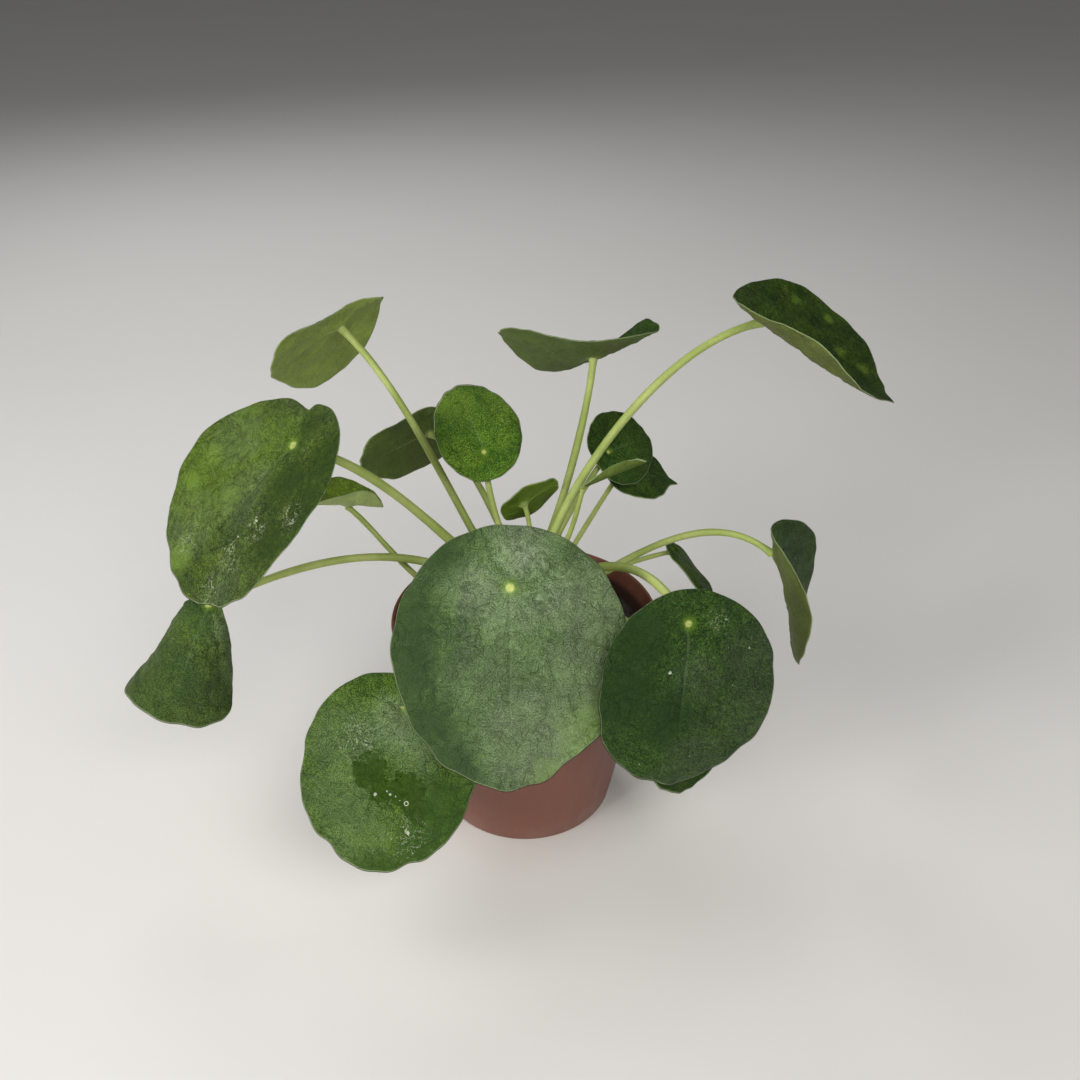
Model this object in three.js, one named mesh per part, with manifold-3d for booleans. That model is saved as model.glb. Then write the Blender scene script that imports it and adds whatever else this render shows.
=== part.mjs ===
// A small potted houseplant with round shield-shaped leaves on long stalks.
// Millimetres, +Z up, the origin at the middle of the pot's underside.
import * as THREE from "three";
import { mergeVertices } from "three/addons/utils/BufferGeometryUtils.js";
import Module from "manifold-3d";

const wasm = await Module();
wasm.setup();

// Driving sizes
const potHeight = 88;
const potTopRadius = 52.5;
const potBaseRadius = 36;
const potWall = 1.5;
const floorThickness = 1.8;
const lipHeight = 7;
const lipStep = 1;
const drainRadius = 3.5;
const drainCircle = 24;
const drainCount = 4;
const soilLevel = 78;
const soilDish = 4;
const soilRipple = 1.2;
const gap = 0.3;
const trunkX = 4;
const trunkY = 2;
const trunkRadius = 5;
const trunkFoot = 40;
const trunkTop = 108;
const budHeight = 7;
const bladeMiddle = 1.1;
const bladeEdge = 0.7;

const radians = THREE.MathUtils.degToRad;
const part = new THREE.Group();
part.name = "potted_plant";

function addMesh(name, geometry, color, roughness) {
  const material = new THREE.MeshStandardMaterial({ color, roughness });
  const mesh = new THREE.Mesh(geometry, material);
  mesh.name = name;
  part.add(mesh);
  return mesh;
}

// A profile of radius and height pairs, turned about the vertical axis
function turned(pairs, segments) {
  const points = pairs.map(([r, z]) => new THREE.Vector2(r, z));
  const geometry = new THREE.LatheGeometry(points, segments);
  geometry.rotateX(Math.PI / 2);
  return geometry;
}

// Solids for the joins and cuts, and the way back to a geometry
function toSolid(geometry) {
  const bare = geometry.clone();
  bare.deleteAttribute("normal");
  bare.deleteAttribute("uv");
  const merged = mergeVertices(bare, 1e-4);
  const mesh = new wasm.Mesh({
    numProp: 3,
    vertProperties: merged.getAttribute("position").array,
    triVerts: new Uint32Array(merged.getIndex().array),
  });
  return new wasm.Manifold(mesh);
}

function toGeometry(solid) {
  const mesh = solid.getMesh();
  const geometry = new THREE.BufferGeometry();
  geometry.setAttribute("position", new THREE.BufferAttribute(mesh.vertProperties, 3));
  geometry.setIndex(new THREE.BufferAttribute(mesh.triVerts, 1));
  geometry.computeVertexNormals();
  return geometry;
}

// Pot: a thin tapered wall with a stepped lip and drain holes in the floor
const slope = (potTopRadius - lipStep - potBaseRadius) / potHeight;
const wallRadius = (z) => potBaseRadius + slope * z;
const lipFoot = potHeight - lipHeight;
const potProfile = [
  [0, 0],
  [potBaseRadius - 1.5, 0],
  [potBaseRadius, 1.2],
  [wallRadius(lipFoot), lipFoot],
  [wallRadius(lipFoot) + lipStep, lipFoot + 1],
  [potTopRadius, potHeight - 1],
  [potTopRadius - 0.5, potHeight],
  [potTopRadius - potWall, potHeight - 0.2],
  [wallRadius(lipFoot) - potWall, lipFoot],
  [wallRadius(floorThickness) - potWall, floorThickness],
  [0, floorThickness],
];
let potSolid = toSolid(turned(potProfile, 56));
const drain = toSolid(turned([[0, -2], [drainRadius, -2], [drainRadius, 4], [0, 4]], 16));
for (let i = 0; i < drainCount; i++) {
  const angle = (i * 2 * Math.PI) / drainCount + Math.PI / 4;
  const hole = drain.translate([drainCircle * Math.cos(angle), drainCircle * Math.sin(angle), 0]);
  potSolid = potSolid.subtract(hole);
}
addMesh("pot", toGeometry(potSolid), 0x8a4a36, 0.55);

// Soil: it fills the pot up to its own level, a little lower round the stem, with an uneven top
const soilFoot = floorThickness + gap;
const soilRadius = (z) => wallRadius(z) - potWall - gap - 0.1;
const soilProfile = [[0, soilFoot], [soilRadius(soilFoot), soilFoot], [soilRadius(soilLevel), soilLevel]];
for (const share of [0.85, 0.65, 0.45, 0.25]) {
  soilProfile.push([soilRadius(soilLevel) * share, soilLevel]);
}
soilProfile.push([0, soilLevel]);
const soilGeometry = turned(soilProfile, 40);
const soilPoints = soilGeometry.getAttribute("position");
for (let i = 0; i < soilPoints.count; i++) {
  const x = soilPoints.getX(i);
  const y = soilPoints.getY(i);
  const z = soilPoints.getZ(i);
  if (z > soilLevel - 0.01) {
    const inside = Math.max(0, 1 - Math.hypot(x, y) / soilRadius(soilLevel));
    const ripple = Math.sin(0.16 * x + 0.5) * Math.cos(0.19 * y) + 0.5 * Math.sin(0.3 * (x - y));
    const dish = soilDish * Math.min(1, 3 * inside);
    soilPoints.setZ(i, z - dish + soilRipple * ripple * Math.min(1, 4 * inside));
  }
}
const trunkHole = toSolid(
  turned([[0, trunkFoot - gap], [trunkRadius + gap + 0.2, trunkFoot - gap],
    [trunkRadius + gap + 0.2, soilLevel + 9], [0, soilLevel + 9]], 20),
).translate([trunkX, trunkY, 0]);
addMesh("soil", toGeometry(toSolid(soilGeometry).subtract(trunkHole)), 0x241c17, 0.95);

// Main stem: a short woody trunk with low rings and a bud at its end
const trunkProfile = [[0, trunkFoot], [trunkRadius, trunkFoot]];
for (let z = soilLevel + 4; z < trunkTop - 3; z += 6) {
  trunkProfile.push([trunkRadius - 0.4, z - 2]);
  trunkProfile.push([trunkRadius, z]);
}
trunkProfile.push([trunkRadius - 0.3, trunkTop]);
trunkProfile.push([trunkRadius * 0.55, trunkTop + budHeight * 0.35]);
trunkProfile.push([trunkRadius * 0.25, trunkTop + budHeight * 0.8]);
trunkProfile.push([0, trunkTop + budHeight]);
const trunkGeometry = turned(trunkProfile, 14);
trunkGeometry.translate(trunkX, trunkY, 0);
addMesh("main_stem", trunkGeometry, 0x6b5a42, 0.8);

// One leaf: where its spot is, which way it leans and turns, its outline and its curl.
// The tip lies at phi 0, rho runs from 0 at the spot to 1 at the edge. Angles in degrees.
// A notch cuts the edge in and sinks it; one with negative values is a lobe.
const plain = {
  cup: [0, 0], droop: 0, fold: 0, flare: 0, wave: 1, waves: 5, phase: 0,
  egg: 0.06, dimple: 1.5, point: 0, shift: 0, notches: [],
};

function around(phi, middle) {
  const turn = (THREE.MathUtils.radToDeg(phi) - middle + 540) % 360;
  return turn - 180;
}

// The middle surface of a blade
function bladePoint(leaf, rho, phi) {
  const halfWidth = leaf.width / 2;
  const halfLength = leaf.length / 2;
  let v = leaf.length * (0.5 - leaf.back) + halfLength * Math.cos(phi);
  v += leaf.point * Math.exp(-((around(phi, 0) / 9) ** 2));
  let u = halfWidth * Math.sin(phi) * (1 - leaf.egg * Math.cos(phi));
  u += leaf.shift * Math.sin(phi) ** 2;
  let sink = 0;
  for (const notch of leaf.notches) {
    const near = Math.exp(-((around(phi, notch.at) / notch.wide) ** 2));
    u *= 1 - notch.cut * near;
    v *= 1 - notch.cut * near;
    sink += notch.depth * near * rho ** 2;
  }
  u *= rho;
  v *= rho;
  const cup = radians(u > 0 ? leaf.cup[0] : leaf.cup[1]);
  const bend = (cup / 2) * (1 + (leaf.flare * v) / halfLength) + 1e-6;
  const fold = radians(leaf.fold);
  const soft = 0.12 * halfWidth;
  let rise = (halfWidth / bend) * (1 - Math.cos((bend * u) / halfWidth));
  rise += Math.sin(fold) * (Math.hypot(u, soft) - soft);
  const across = (halfWidth / bend) * Math.sin((bend * u) / halfWidth) * Math.cos(fold);
  const arch = -radians(leaf.droop) / 2 - 1e-6;
  const angle = (arch * v) / halfLength;
  const along = (halfLength / arch) * Math.sin(angle) - rise * Math.sin(angle);
  let height = (halfLength / arch) * (1 - Math.cos(angle)) + rise * Math.cos(angle);
  height += leaf.wave * rho ** 3 * Math.sin(leaf.waves * phi + radians(leaf.phase)) - sink;
  height += leaf.dimple * (1 - Math.exp(-((Math.hypot(u, v) / (0.09 * leaf.width)) ** 2)));
  return new THREE.Vector3(along, -across, height);
}

function bladeNormal(leaf, rho, phi) {
  if (rho < 0.02) {
    return new THREE.Vector3(0, 0, 1);
  }
  const outward = bladePoint(leaf, rho + 0.002, phi).sub(bladePoint(leaf, rho - 0.002, phi));
  const round = bladePoint(leaf, rho, phi + 0.002).sub(bladePoint(leaf, rho, phi - 0.002));
  return round.cross(outward).normalize();
}

// From the leaf's own axes to the plant's: a turn about the blade's normal, a tilt, a heading
function leafMatrix(leaf) {
  const matrix = new THREE.Matrix4().makeTranslation(...leaf.spot);
  matrix.multiply(new THREE.Matrix4().makeRotationZ(radians(leaf.heading)));
  matrix.multiply(new THREE.Matrix4().makeRotationY(radians(leaf.tilt)));
  matrix.multiply(new THREE.Matrix4().makeRotationZ(radians(leaf.turn)));
  return matrix;
}

// A lens-shaped disc, split into triangles alike on both faces, then laid on the blade's surface
function bladeGeometry(leaf, spokes, rings) {
  const profile = [];
  for (let j = 0; j <= rings; j++) {
    profile.push(new THREE.Vector2(j / rings, 1));
  }
  for (let j = rings; j >= 0; j--) {
    profile.push(new THREE.Vector2(j / rings, -1));
  }
  const disc = new THREE.LatheGeometry(profile, spokes);
  const row = profile.length;
  const index = [];
  for (let i = 0; i < spokes; i++) {
    for (let j = 0; j < row - 1; j++) {
      const a = i * row + j;
      const b = a + row;
      if (j < rings) {
        index.push(a, b, b + 1, a, b + 1, a + 1);
      } else {
        index.push(a, b, a + 1, b + 1, a + 1, b);
      }
    }
  }
  disc.setIndex(index);
  const points = disc.getAttribute("position");
  for (let i = 0; i <= spokes; i++) {
    const phi = ((i % spokes) * 2 * Math.PI) / spokes;
    for (let j = 0; j < row; j++) {
      const rho = profile[j].x;
      const side = profile[j].y;
      const half = THREE.MathUtils.lerp(bladeMiddle, bladeEdge, rho) / 2;
      const place = bladePoint(leaf, rho, phi);
      place.addScaledVector(bladeNormal(leaf, rho, phi), side * half);
      points.setXYZ(i * row + j, place.x, place.y, place.z);
    }
  }
  disc.applyMatrix4(leafMatrix(leaf));
  disc.computeVertexNormals();
  return disc;
}

// A round stalk along a curve from the trunk to just under the blade's spot
function stalkGeometry(leaf, sides, steps) {
  const radius = leaf.stalk.radius;
  const first = new THREE.Vector3(...leaf.stalk.first);
  const second = new THREE.Vector3(...leaf.stalk.second);
  const heading = radians(leaf.stalk.from);
  const outward = new THREE.Vector3(Math.cos(heading), Math.sin(heading), 0);
  const root = new THREE.Vector3(trunkX, trunkY, leaf.stalk.height);
  const start = root.clone().addScaledVector(outward, trunkRadius + gap + 1);
  const leaving = first.clone().sub(start).normalize();
  const lift = radius * Math.sqrt(1 - leaving.dot(outward) ** 2);
  start.copy(root).addScaledVector(outward, trunkRadius + gap + lift);
  const normal = new THREE.Vector3(0, 0, 1).transformDirection(leafMatrix(leaf));
  const end = new THREE.Vector3(...leaf.spot).addScaledVector(normal, -1.6);
  const arriving = end.clone().sub(second).normalize();
  const drop = radius * Math.sqrt(Math.max(0, 1 - arriving.dot(normal) ** 2));
  end.set(...leaf.spot).addScaledVector(normal, -(bladeMiddle / 2 + gap + drop));
  const path = new THREE.CubicBezierCurve3(start, first, second, end);
  const ring = new THREE.Shape();
  ring.absarc(0, 0, radius, 0, 2 * Math.PI);
  return new THREE.ExtrudeGeometry(ring, {
    steps,
    curveSegments: sides / 2,
    bevelEnabled: false,
    extrudePath: path,
  });
}

const leaves = {
  front: {
    spot: [-5, -48, 132], heading: -90, tilt: 52, turn: 0, width: 81, length: 91, back: 0.24,
    cup: [-22, -22], droop: 20, wave: 1.5,
    notches: [{ at: 322, depth: 0, wide: 22, cut: 0.035 }],
    stalk: { height: 100, from: -100, first: [3, -16, 112], second: [-5, -32, 118], radius: 1.9 },
  },
  front_right: {
    spot: [53.5, -62.9, 127.3], heading: -73, tilt: 66, turn: -11, width: 64, length: 69.2, back: 0.17,
    cup: [-90, -23], droop: 21, flare: -0.3, wave: 1.2, phase: 40, egg: -0.07, shift: -3.8,
    notches: [{ at: 225, depth: 0, wide: 30, cut: -0.08 }, { at: 305, depth: 0, wide: 22, cut: 0.04 }],
    stalk: { height: 98, from: -32, first: [30, -10, 122], second: [44, -28, 132], radius: 1.8 },
  },
  front_left: {
    spot: [-43.6, -53.8, 84.3], heading: -97, tilt: 60, turn: -9, width: 65.7, length: 70.3, back: 0.19,
    cup: [-43, 4], droop: -15, flare: -0.08, wave: 1.5, waves: 6, phase: 80, egg: 0.03, shift: 1.6,
    stalk: { height: 90, from: -140, first: [-14, -20, 122], second: [-33, -46, 92], radius: 1.8 },
  },
  left: {
    spot: [-81, -6, 165], heading: -139, tilt: 39, turn: -6, width: 76.7, length: 83.1, back: 0.21,
    cup: [38, 22], droop: 16, flare: -0.06, waves: 4, phase: 60, egg: 0.01, shift: 0.6,
    notches: [{ at: 164, depth: 3, wide: 8, cut: 0.14 }, { at: 202, depth: -3, wide: 18, cut: -0.16 },
      { at: 110, depth: 0, wide: 40, cut: 0.05 }, { at: 285, depth: 0, wide: 30, cut: -0.05 }],
    stalk: { height: 94, from: 180, first: [-24, -2, 112], second: [-48, 5, 152], radius: 1.9 },
  },
  far_left: {
    spot: [-119.6, -11.5, 101.4], heading: -82, tilt: 50, turn: -23, width: 52.3, length: 49.5, back: 0.06,
    cup: [-298, -280], droop: 9, flare: -0.36, waves: 4, egg: -0.49, shift: 5.9,
    stalk: { height: 85, from: 192, first: [-34, 12, 120], second: [-80, 14, 110], radius: 1.7 },
  },
  back_left: {
    spot: [-74.2, 73.8, 179.3], heading: 138, tilt: 52, turn: 58, width: 49, length: 57.1, back: 0.39,
    cup: [-34, -1], droop: 13, flare: -0.64, egg: -0.41, shift: 8.8,
    stalk: { height: 82, from: 142, first: [-26, 28, 112], second: [-44, 56, 156], radius: 1.7 },
  },
  back: {
    spot: [-40, 72, 132], heading: 118, tilt: 69, turn: 68, width: 38, length: 46, back: 0.28,
    shift: 3,
    stalk: { height: 91, from: 122, first: [-10, 30, 112], second: [-22, 56, 132], radius: 1.5 },
  },
  middle: {
    spot: [-15.1, 17.5, 150.2], heading: -76, tilt: 49, turn: -167, width: 33.1, length: 39.7, back: 0.29,
    cup: [16, -5], droop: 11, flare: 0.03, wave: 0.5, shift: 0.6,
    stalk: { height: 106, from: 160, first: [-10, 6, 116], second: [-14, 16, 137], radius: 1.3 },
  },
  cupped: {
    spot: [-70, 24, 124], heading: 21, tilt: 14, turn: 177, width: 30, length: 34, back: 0.42,
    cup: [60, 185], flare: -0.5, wave: 0.5,
    stalk: { height: 78, from: 165, first: [-42, 6, 86], second: [-54, 19, 112], radius: 1.3 },
  },
  back_right: {
    spot: [28.9, 65.8, 168.7], heading: 97, tilt: 33, turn: 10, width: 73.2, length: 68.8, back: 0.37,
    cup: [114, 66], droop: -7, flare: 0.44, egg: 0.03, shift: -3.4,
    stalk: { height: 106, from: 82, first: [13, 17, 116], second: [27, 54, 150], radius: 1.7 },
  },
  right: {
    spot: [94.2, 53.4, 188.3], heading: -19, tilt: 32, turn: 0, width: 72.8, length: 73.1, back: 0.22,
    cup: [110, 42], droop: -10, flare: -0.01, wave: 0.8, egg: 0.14, point: 3, shift: -2.5,
    stalk: { height: 106, from: 35, first: [10, 14, 126], second: [51, 50, 181], radius: 1.8 },
  },
  young_right: {
    spot: [35, 53, 132], heading: -45, tilt: 50, turn: 85, width: 33, length: 35, back: 0.3,
    wave: 0.5,
    stalk: { height: 97, from: 70, first: [13, 26, 114], second: [29, 43, 126], radius: 1.3 },
  },
  young_low: {
    spot: [42, 63, 118], heading: -43, tilt: 28, turn: 45, width: 30, length: 32, back: 0.3,
    wave: 0.5, point: 4,
    stalk: { height: 90, from: 50, first: [21, 28, 104], second: [31, 46, 110], radius: 1.2 },
  },
  rolled: {
    spot: [22, 2, 143], heading: 123, tilt: 41, turn: -122, width: 8.5, length: 27, back: 0.05,
    cup: [190, 190], wave: 0.2, egg: -0.4, dimple: 0.3,
    stalk: { height: 104, from: -10, first: [19, 5, 120], second: [19, 2, 130], radius: 1.1 },
  },
  young_middle: {
    spot: [0.3, 18.3, 126.4], heading: 121, tilt: 66, turn: -114, width: 24.1, length: 26, back: 0.37,
    cup: [-9, 22], droop: -3, flare: -0.17, wave: 0.5, egg: 0.12, shift: -1.8,
    stalk: { height: 101, from: 112, first: [3, 12, 108], second: [3, 18, 118], radius: 1.1 },
  },
  hanging: {
    spot: [94.8, -2.7, 116.3], heading: -10, tilt: 72, turn: -3, width: 58.8, length: 56.5, back: 0.17,
    cup: [120, 110], droop: 10, flare: -0.32, wave: 0.5, shift: -4,
    stalk: { height: 89, from: -2, first: [32, 0, 105.5], second: [68, 12, 135], radius: 1.5 },
  },
  young_edge: {
    spot: [58.2, 13.6, 107.6], heading: -2, tilt: 45, turn: -33, width: 19.3, length: 30.7, back: 0.16,
    cup: [-22, -9], droop: -5, flare: 0.21, wave: 0.5, egg: 0.08, shift: -2.7,
    stalk: { height: 94, from: 22, first: [30, 8, 101], second: [46, 15, 104], radius: 1.1 },
  },
  low_right: {
    spot: [59.9, -36.9, 68.2], heading: -44, tilt: 69, turn: -22, width: 39.4, length: 41.3, back: 0.24,
    cup: [7, 20], droop: 12, flare: -0.03, wave: 0.8, egg: -0.1, shift: 2.4,
    stalk: { height: 84, from: -45, first: [56, -35, 132], second: [49, -31, 58], radius: 1.4 },
  },
};

for (const [name, row] of Object.entries(leaves)) {
  const leaf = { ...plain, ...row };
  const large = leaf.width > 45;
  const blade = bladeGeometry(leaf, large ? 28 : 18, large ? 4 : 3);
  addMesh("leaf_" + name, blade, 0x3f6b35, 0.45);
  addMesh("stalk_" + name, stalkGeometry(leaf, 8, large ? 10 : 8), 0x9db65a, 0.5);
}

export default part;
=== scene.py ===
import bpy
import math
import random
import numpy as np
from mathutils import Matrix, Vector, noise


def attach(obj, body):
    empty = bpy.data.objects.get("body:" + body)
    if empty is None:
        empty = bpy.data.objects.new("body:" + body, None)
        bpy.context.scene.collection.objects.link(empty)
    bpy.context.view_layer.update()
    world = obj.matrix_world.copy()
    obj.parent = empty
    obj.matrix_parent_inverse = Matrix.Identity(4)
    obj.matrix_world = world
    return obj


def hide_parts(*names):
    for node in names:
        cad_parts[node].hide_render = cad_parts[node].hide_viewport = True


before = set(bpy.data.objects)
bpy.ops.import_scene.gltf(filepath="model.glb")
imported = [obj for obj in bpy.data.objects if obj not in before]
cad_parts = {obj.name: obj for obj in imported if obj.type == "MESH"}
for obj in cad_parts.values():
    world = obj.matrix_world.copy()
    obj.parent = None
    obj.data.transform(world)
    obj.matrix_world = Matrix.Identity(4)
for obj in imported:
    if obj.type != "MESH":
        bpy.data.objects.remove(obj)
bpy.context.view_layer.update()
mm = 0.001
print("frame loaded")


def deselectAll():
    if bpy.context.object and bpy.context.object.mode != "OBJECT":
        bpy.ops.object.mode_set(mode="OBJECT")
    bpy.ops.object.select_all(action="DESELECT")


def pickOnly(piece):
    deselectAll()
    piece.select_set(True)
    bpy.context.view_layer.objects.active = piece


def join(pieces, name):
    pickOnly(pieces[0])
    for piece in pieces[1:]:
        piece.select_set(True)
    bpy.ops.object.join()
    joined = bpy.context.object
    joined.name = name
    joined.data.name = name
    return joined


def tidyMesh(piece, merge=0.00001):
    pickOnly(piece)
    bpy.ops.object.mode_set(mode="EDIT")
    bpy.ops.mesh.select_all(action="SELECT")
    bpy.ops.mesh.remove_doubles(threshold=merge)
    bpy.ops.mesh.normals_make_consistent(inside=False)
    bpy.ops.object.mode_set(mode="OBJECT")


def handOver(piece, node, material):
    piece.data.materials.clear()
    piece.data.materials.append(material)
    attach(piece, "root")
    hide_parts(node)


def readPoints(mesh):
    flat = np.empty(len(mesh.vertices) * 3)
    mesh.vertices.foreach_get("co", flat)
    return flat.reshape(-1, 3)


def writePoints(mesh, points):
    mesh.vertices.foreach_set("co", np.asarray(points).reshape(-1))
    mesh.update()


def addNode(tree, kind, inputs=(), **settings):
    made = tree.nodes.new(kind)
    for key, value in settings.items():
        setattr(made, key, value)
    for key, value in dict(inputs).items():
        socket = made.inputs[key]
        if isinstance(value, bpy.types.NodeSocket):
            tree.links.new(value, socket)
        else:
            socket.default_value = value
    return made


def maths(tree, operation, a, b=0.0, c=0.0, clamp=False):
    made = addNode(tree, "ShaderNodeMath", {0: a, 1: b, 2: c}, operation=operation, use_clamp=clamp)
    return made.outputs[0]


def times(tree, a, b):
    return maths(tree, "MULTIPLY", a, b)


def plus(tree, a, b):
    return maths(tree, "ADD", a, b)


def minus(tree, a, b, clamp=False):
    return maths(tree, "SUBTRACT", a, b, clamp=clamp)


def fade(tree, value, low, high, start=0.0, end=1.0):
    made = addNode(tree, "ShaderNodeMapRange",
                   {"Value": value, "From Min": low, "From Max": high, "To Min": start, "To Max": end},
                   interpolation_type="SMOOTHSTEP")
    return made.outputs[0]


def mixColor(tree, factor, a, b, blend="MIX"):
    made = addNode(tree, "ShaderNodeMix", {0: factor, 6: a, 7: b}, data_type="RGBA", blend_type=blend)
    return made.outputs[2]


def noiseAt(tree, vector, scale, detail=3.0, rough=0.5, warp=0.0):
    made = addNode(tree, "ShaderNodeTexNoise",
                   {"Vector": vector, "Scale": scale, "Detail": detail, "Roughness": rough,
                    "Distortion": warp})
    return made.outputs["Fac"]


def vectorMath(tree, operation, a, b=(0.0, 0.0, 0.0)):
    return addNode(tree, "ShaderNodeVectorMath", {0: a, 1: b}, operation=operation).outputs[0]


def objectPlace(tree):
    return addNode(tree, "ShaderNodeTexCoord").outputs["Object"]


def bumpFrom(tree, height, strength, distance):
    made = addNode(tree, "ShaderNodeBump", {"Height": height, "Strength": strength, "Distance": distance})
    return made.outputs[0]


def linkAll(tree, node, **values):
    for label, value in values.items():
        tree.links.new(value, node.inputs[label.replace("_", " ")])


def startGroup(name, numbers):
    # each group takes the blade's flat coordinates and some numbers
    tree = bpy.data.node_groups.new(name, "ShaderNodeTree")
    tree.interface.new_socket(name="Flat", in_out="INPUT", socket_type="NodeSocketVector")
    for label, value in numbers.items():
        socket = tree.interface.new_socket(name=label, in_out="INPUT", socket_type="NodeSocketFloat")
        socket.default_value = value
    return tree, tree.nodes.new("NodeGroupInput").outputs


def finishGroup(tree, masks):
    for label in masks:
        tree.interface.new_socket(name=label, in_out="OUTPUT", socket_type="NodeSocketFloat")
    linkAll(tree, tree.nodes.new("NodeGroupOutput"), **masks)
    return tree


def startMaterial(name, color, **values):
    material = bpy.data.materials.new(name)
    material.use_nodes = True
    material.diffuse_color = (*color, 1.0)
    tree = material.node_tree
    shader = tree.nodes["Principled BSDF"]
    for label, value in values.items():
        shader.inputs[label.replace("_", " ")].default_value = value
    return material, tree, shader


def rgb(red, green, blue):
    return (red, green, blue, 1.0)


# the camera stands where the photograph was taken from: metres, degrees and millimetres of lens
view = {
    "place": (0.0, -0.357, 0.338),
    "pitchDown": 31.2,
    "turnRight": 0.97,
    "lens": 36.0 * 1100.0 / 1080.0,
    "sensor": 36.0,
}
pitch, yaw = math.radians(90 - view["pitchDown"]), -math.radians(view["turnRight"])
bpy.ops.object.camera_add(location=view["place"], rotation=(pitch, 0, yaw))
camera = bpy.context.object
camera.data.lens = view["lens"]
camera.data.sensor_width = view["sensor"]
bpy.context.scene.camera = camera
bpy.context.scene.view_settings.view_transform = "Standard"

# broad soft lamps, each at an azimuth and elevation in degrees and a distance in metres from the plant
lamps = {
    "frontLeft": {"azimuth": -139, "elevation": 22, "away": 1.25, "size": 0.40, "power": 8.6,
                  "tint": (1.0, 0.99, 0.97)},
    "front": {"azimuth": -78, "elevation": 38, "away": 1.45, "size": 0.70, "power": 9.4,
              "tint": (1.0, 0.99, 0.97)},
    "frontRight": {"azimuth": -50, "elevation": 40, "away": 1.50, "size": 0.50, "power": 2.8,
                   "tint": (1.0, 0.98, 0.94)},
    "left": {"azimuth": 178, "elevation": 50, "away": 1.10, "size": 0.45, "power": 1.6,
             "tint": (1.0, 1.0, 0.98)},
    "back": {"azimuth": 112, "elevation": 40, "away": 1.40, "size": 0.55, "power": 4.2,
             "tint": (0.98, 0.99, 1.0)},
}
middle = Vector((0.0, -0.02, 0.11))
for name, lamp in lamps.items():
    azimuth, elevation = math.radians(lamp["azimuth"]), math.radians(lamp["elevation"])
    outward = Vector((math.cos(azimuth) * math.cos(elevation), math.sin(azimuth) * math.cos(elevation),
                      math.sin(elevation)))
    bpy.ops.object.light_add(type="AREA", location=middle + outward * lamp["away"])
    light = bpy.context.object
    light.name = name
    light.data.size = lamp["size"]
    light.data.energy = lamp["power"]
    light.data.color = lamp["tint"]
    light.rotation_euler = (-outward).to_track_quat("-Z", "Y").to_euler()

world = bpy.data.worlds.new("studio")
bpy.context.scene.world = world
world.use_nodes = True
world.node_tree.nodes["Background"].inputs["Color"].default_value = rgb(0.92, 0.92, 0.94)
world.node_tree.nodes["Background"].inputs["Strength"].default_value = 0.13

bpy.ops.mesh.primitive_plane_add(size=24, location=(0, 0, -0.0002))
floor = bpy.context.object
floor.name = "floor"
floorLook, tree, shader = startMaterial("paleFloor", (0.82, 0.80, 0.77), Roughness=0.55)
cloud = noiseAt(tree, objectPlace(tree), 3.0, 2.0)
linkAll(tree, shader, Base_Color=mixColor(tree, cloud, rgb(0.80, 0.78, 0.745), rgb(0.86, 0.845, 0.82)))
floor.data.materials.append(floorLook)
print("camera, lights and floor ready")


# the pot, in millimetres
pot = {
    "height": 88.0, "topRadius": 52.5, "baseRadius": 36.0, "wall": 1.5, "floor": 1.8,
    "lipHeight": 7.0, "lipStep": 1.0, "segments": 160,
    "drainRadius": 3.5, "drainCircle": 24.0, "drains": 4,
    "dark": (0.180, 0.066, 0.042), "light": (0.222, 0.082, 0.054), "streak": (0.27, 0.115, 0.082),
    "grain": (0.15, 0.05, 0.035), "inside": (0.026, 0.0065, 0.005), "lowerInside": (0.022, 0.014, 0.010),
    "fleck": (0.03, 0.018, 0.012), "dust": (0.36, 0.25, 0.2),
}


def wallAt(z):
    return pot["baseRadius"] + (pot["topRadius"] - pot["lipStep"] - pot["baseRadius"]) * z / pot["height"]


def turnedPiece(name, profile, segments):
    # a ring drawn out from its foot, one extrude and one resize for each step of the profile
    radius, height = profile[0]
    deselectAll()
    bpy.ops.mesh.primitive_circle_add(vertices=segments, radius=radius * mm, fill_type="NGON",
                                      location=(0, 0, height * mm))
    piece = bpy.context.object
    piece.name = name
    piece.data.name = name
    bpy.ops.object.transform_apply(location=True)
    bpy.ops.object.mode_set(mode="EDIT")
    bpy.ops.mesh.select_all(action="SELECT")
    for nextRadius, nextHeight in profile[1:]:
        bpy.ops.mesh.extrude_region_move(
            TRANSFORM_OT_translate={"value": (0, 0, (nextHeight - height) * mm)})
        grow = nextRadius / radius
        bpy.ops.transform.resize(value=(grow, grow, 1), center_override=(0, 0, nextHeight * mm))
        radius, height = nextRadius, nextHeight
    bpy.ops.object.mode_set(mode="OBJECT")
    return piece


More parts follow.
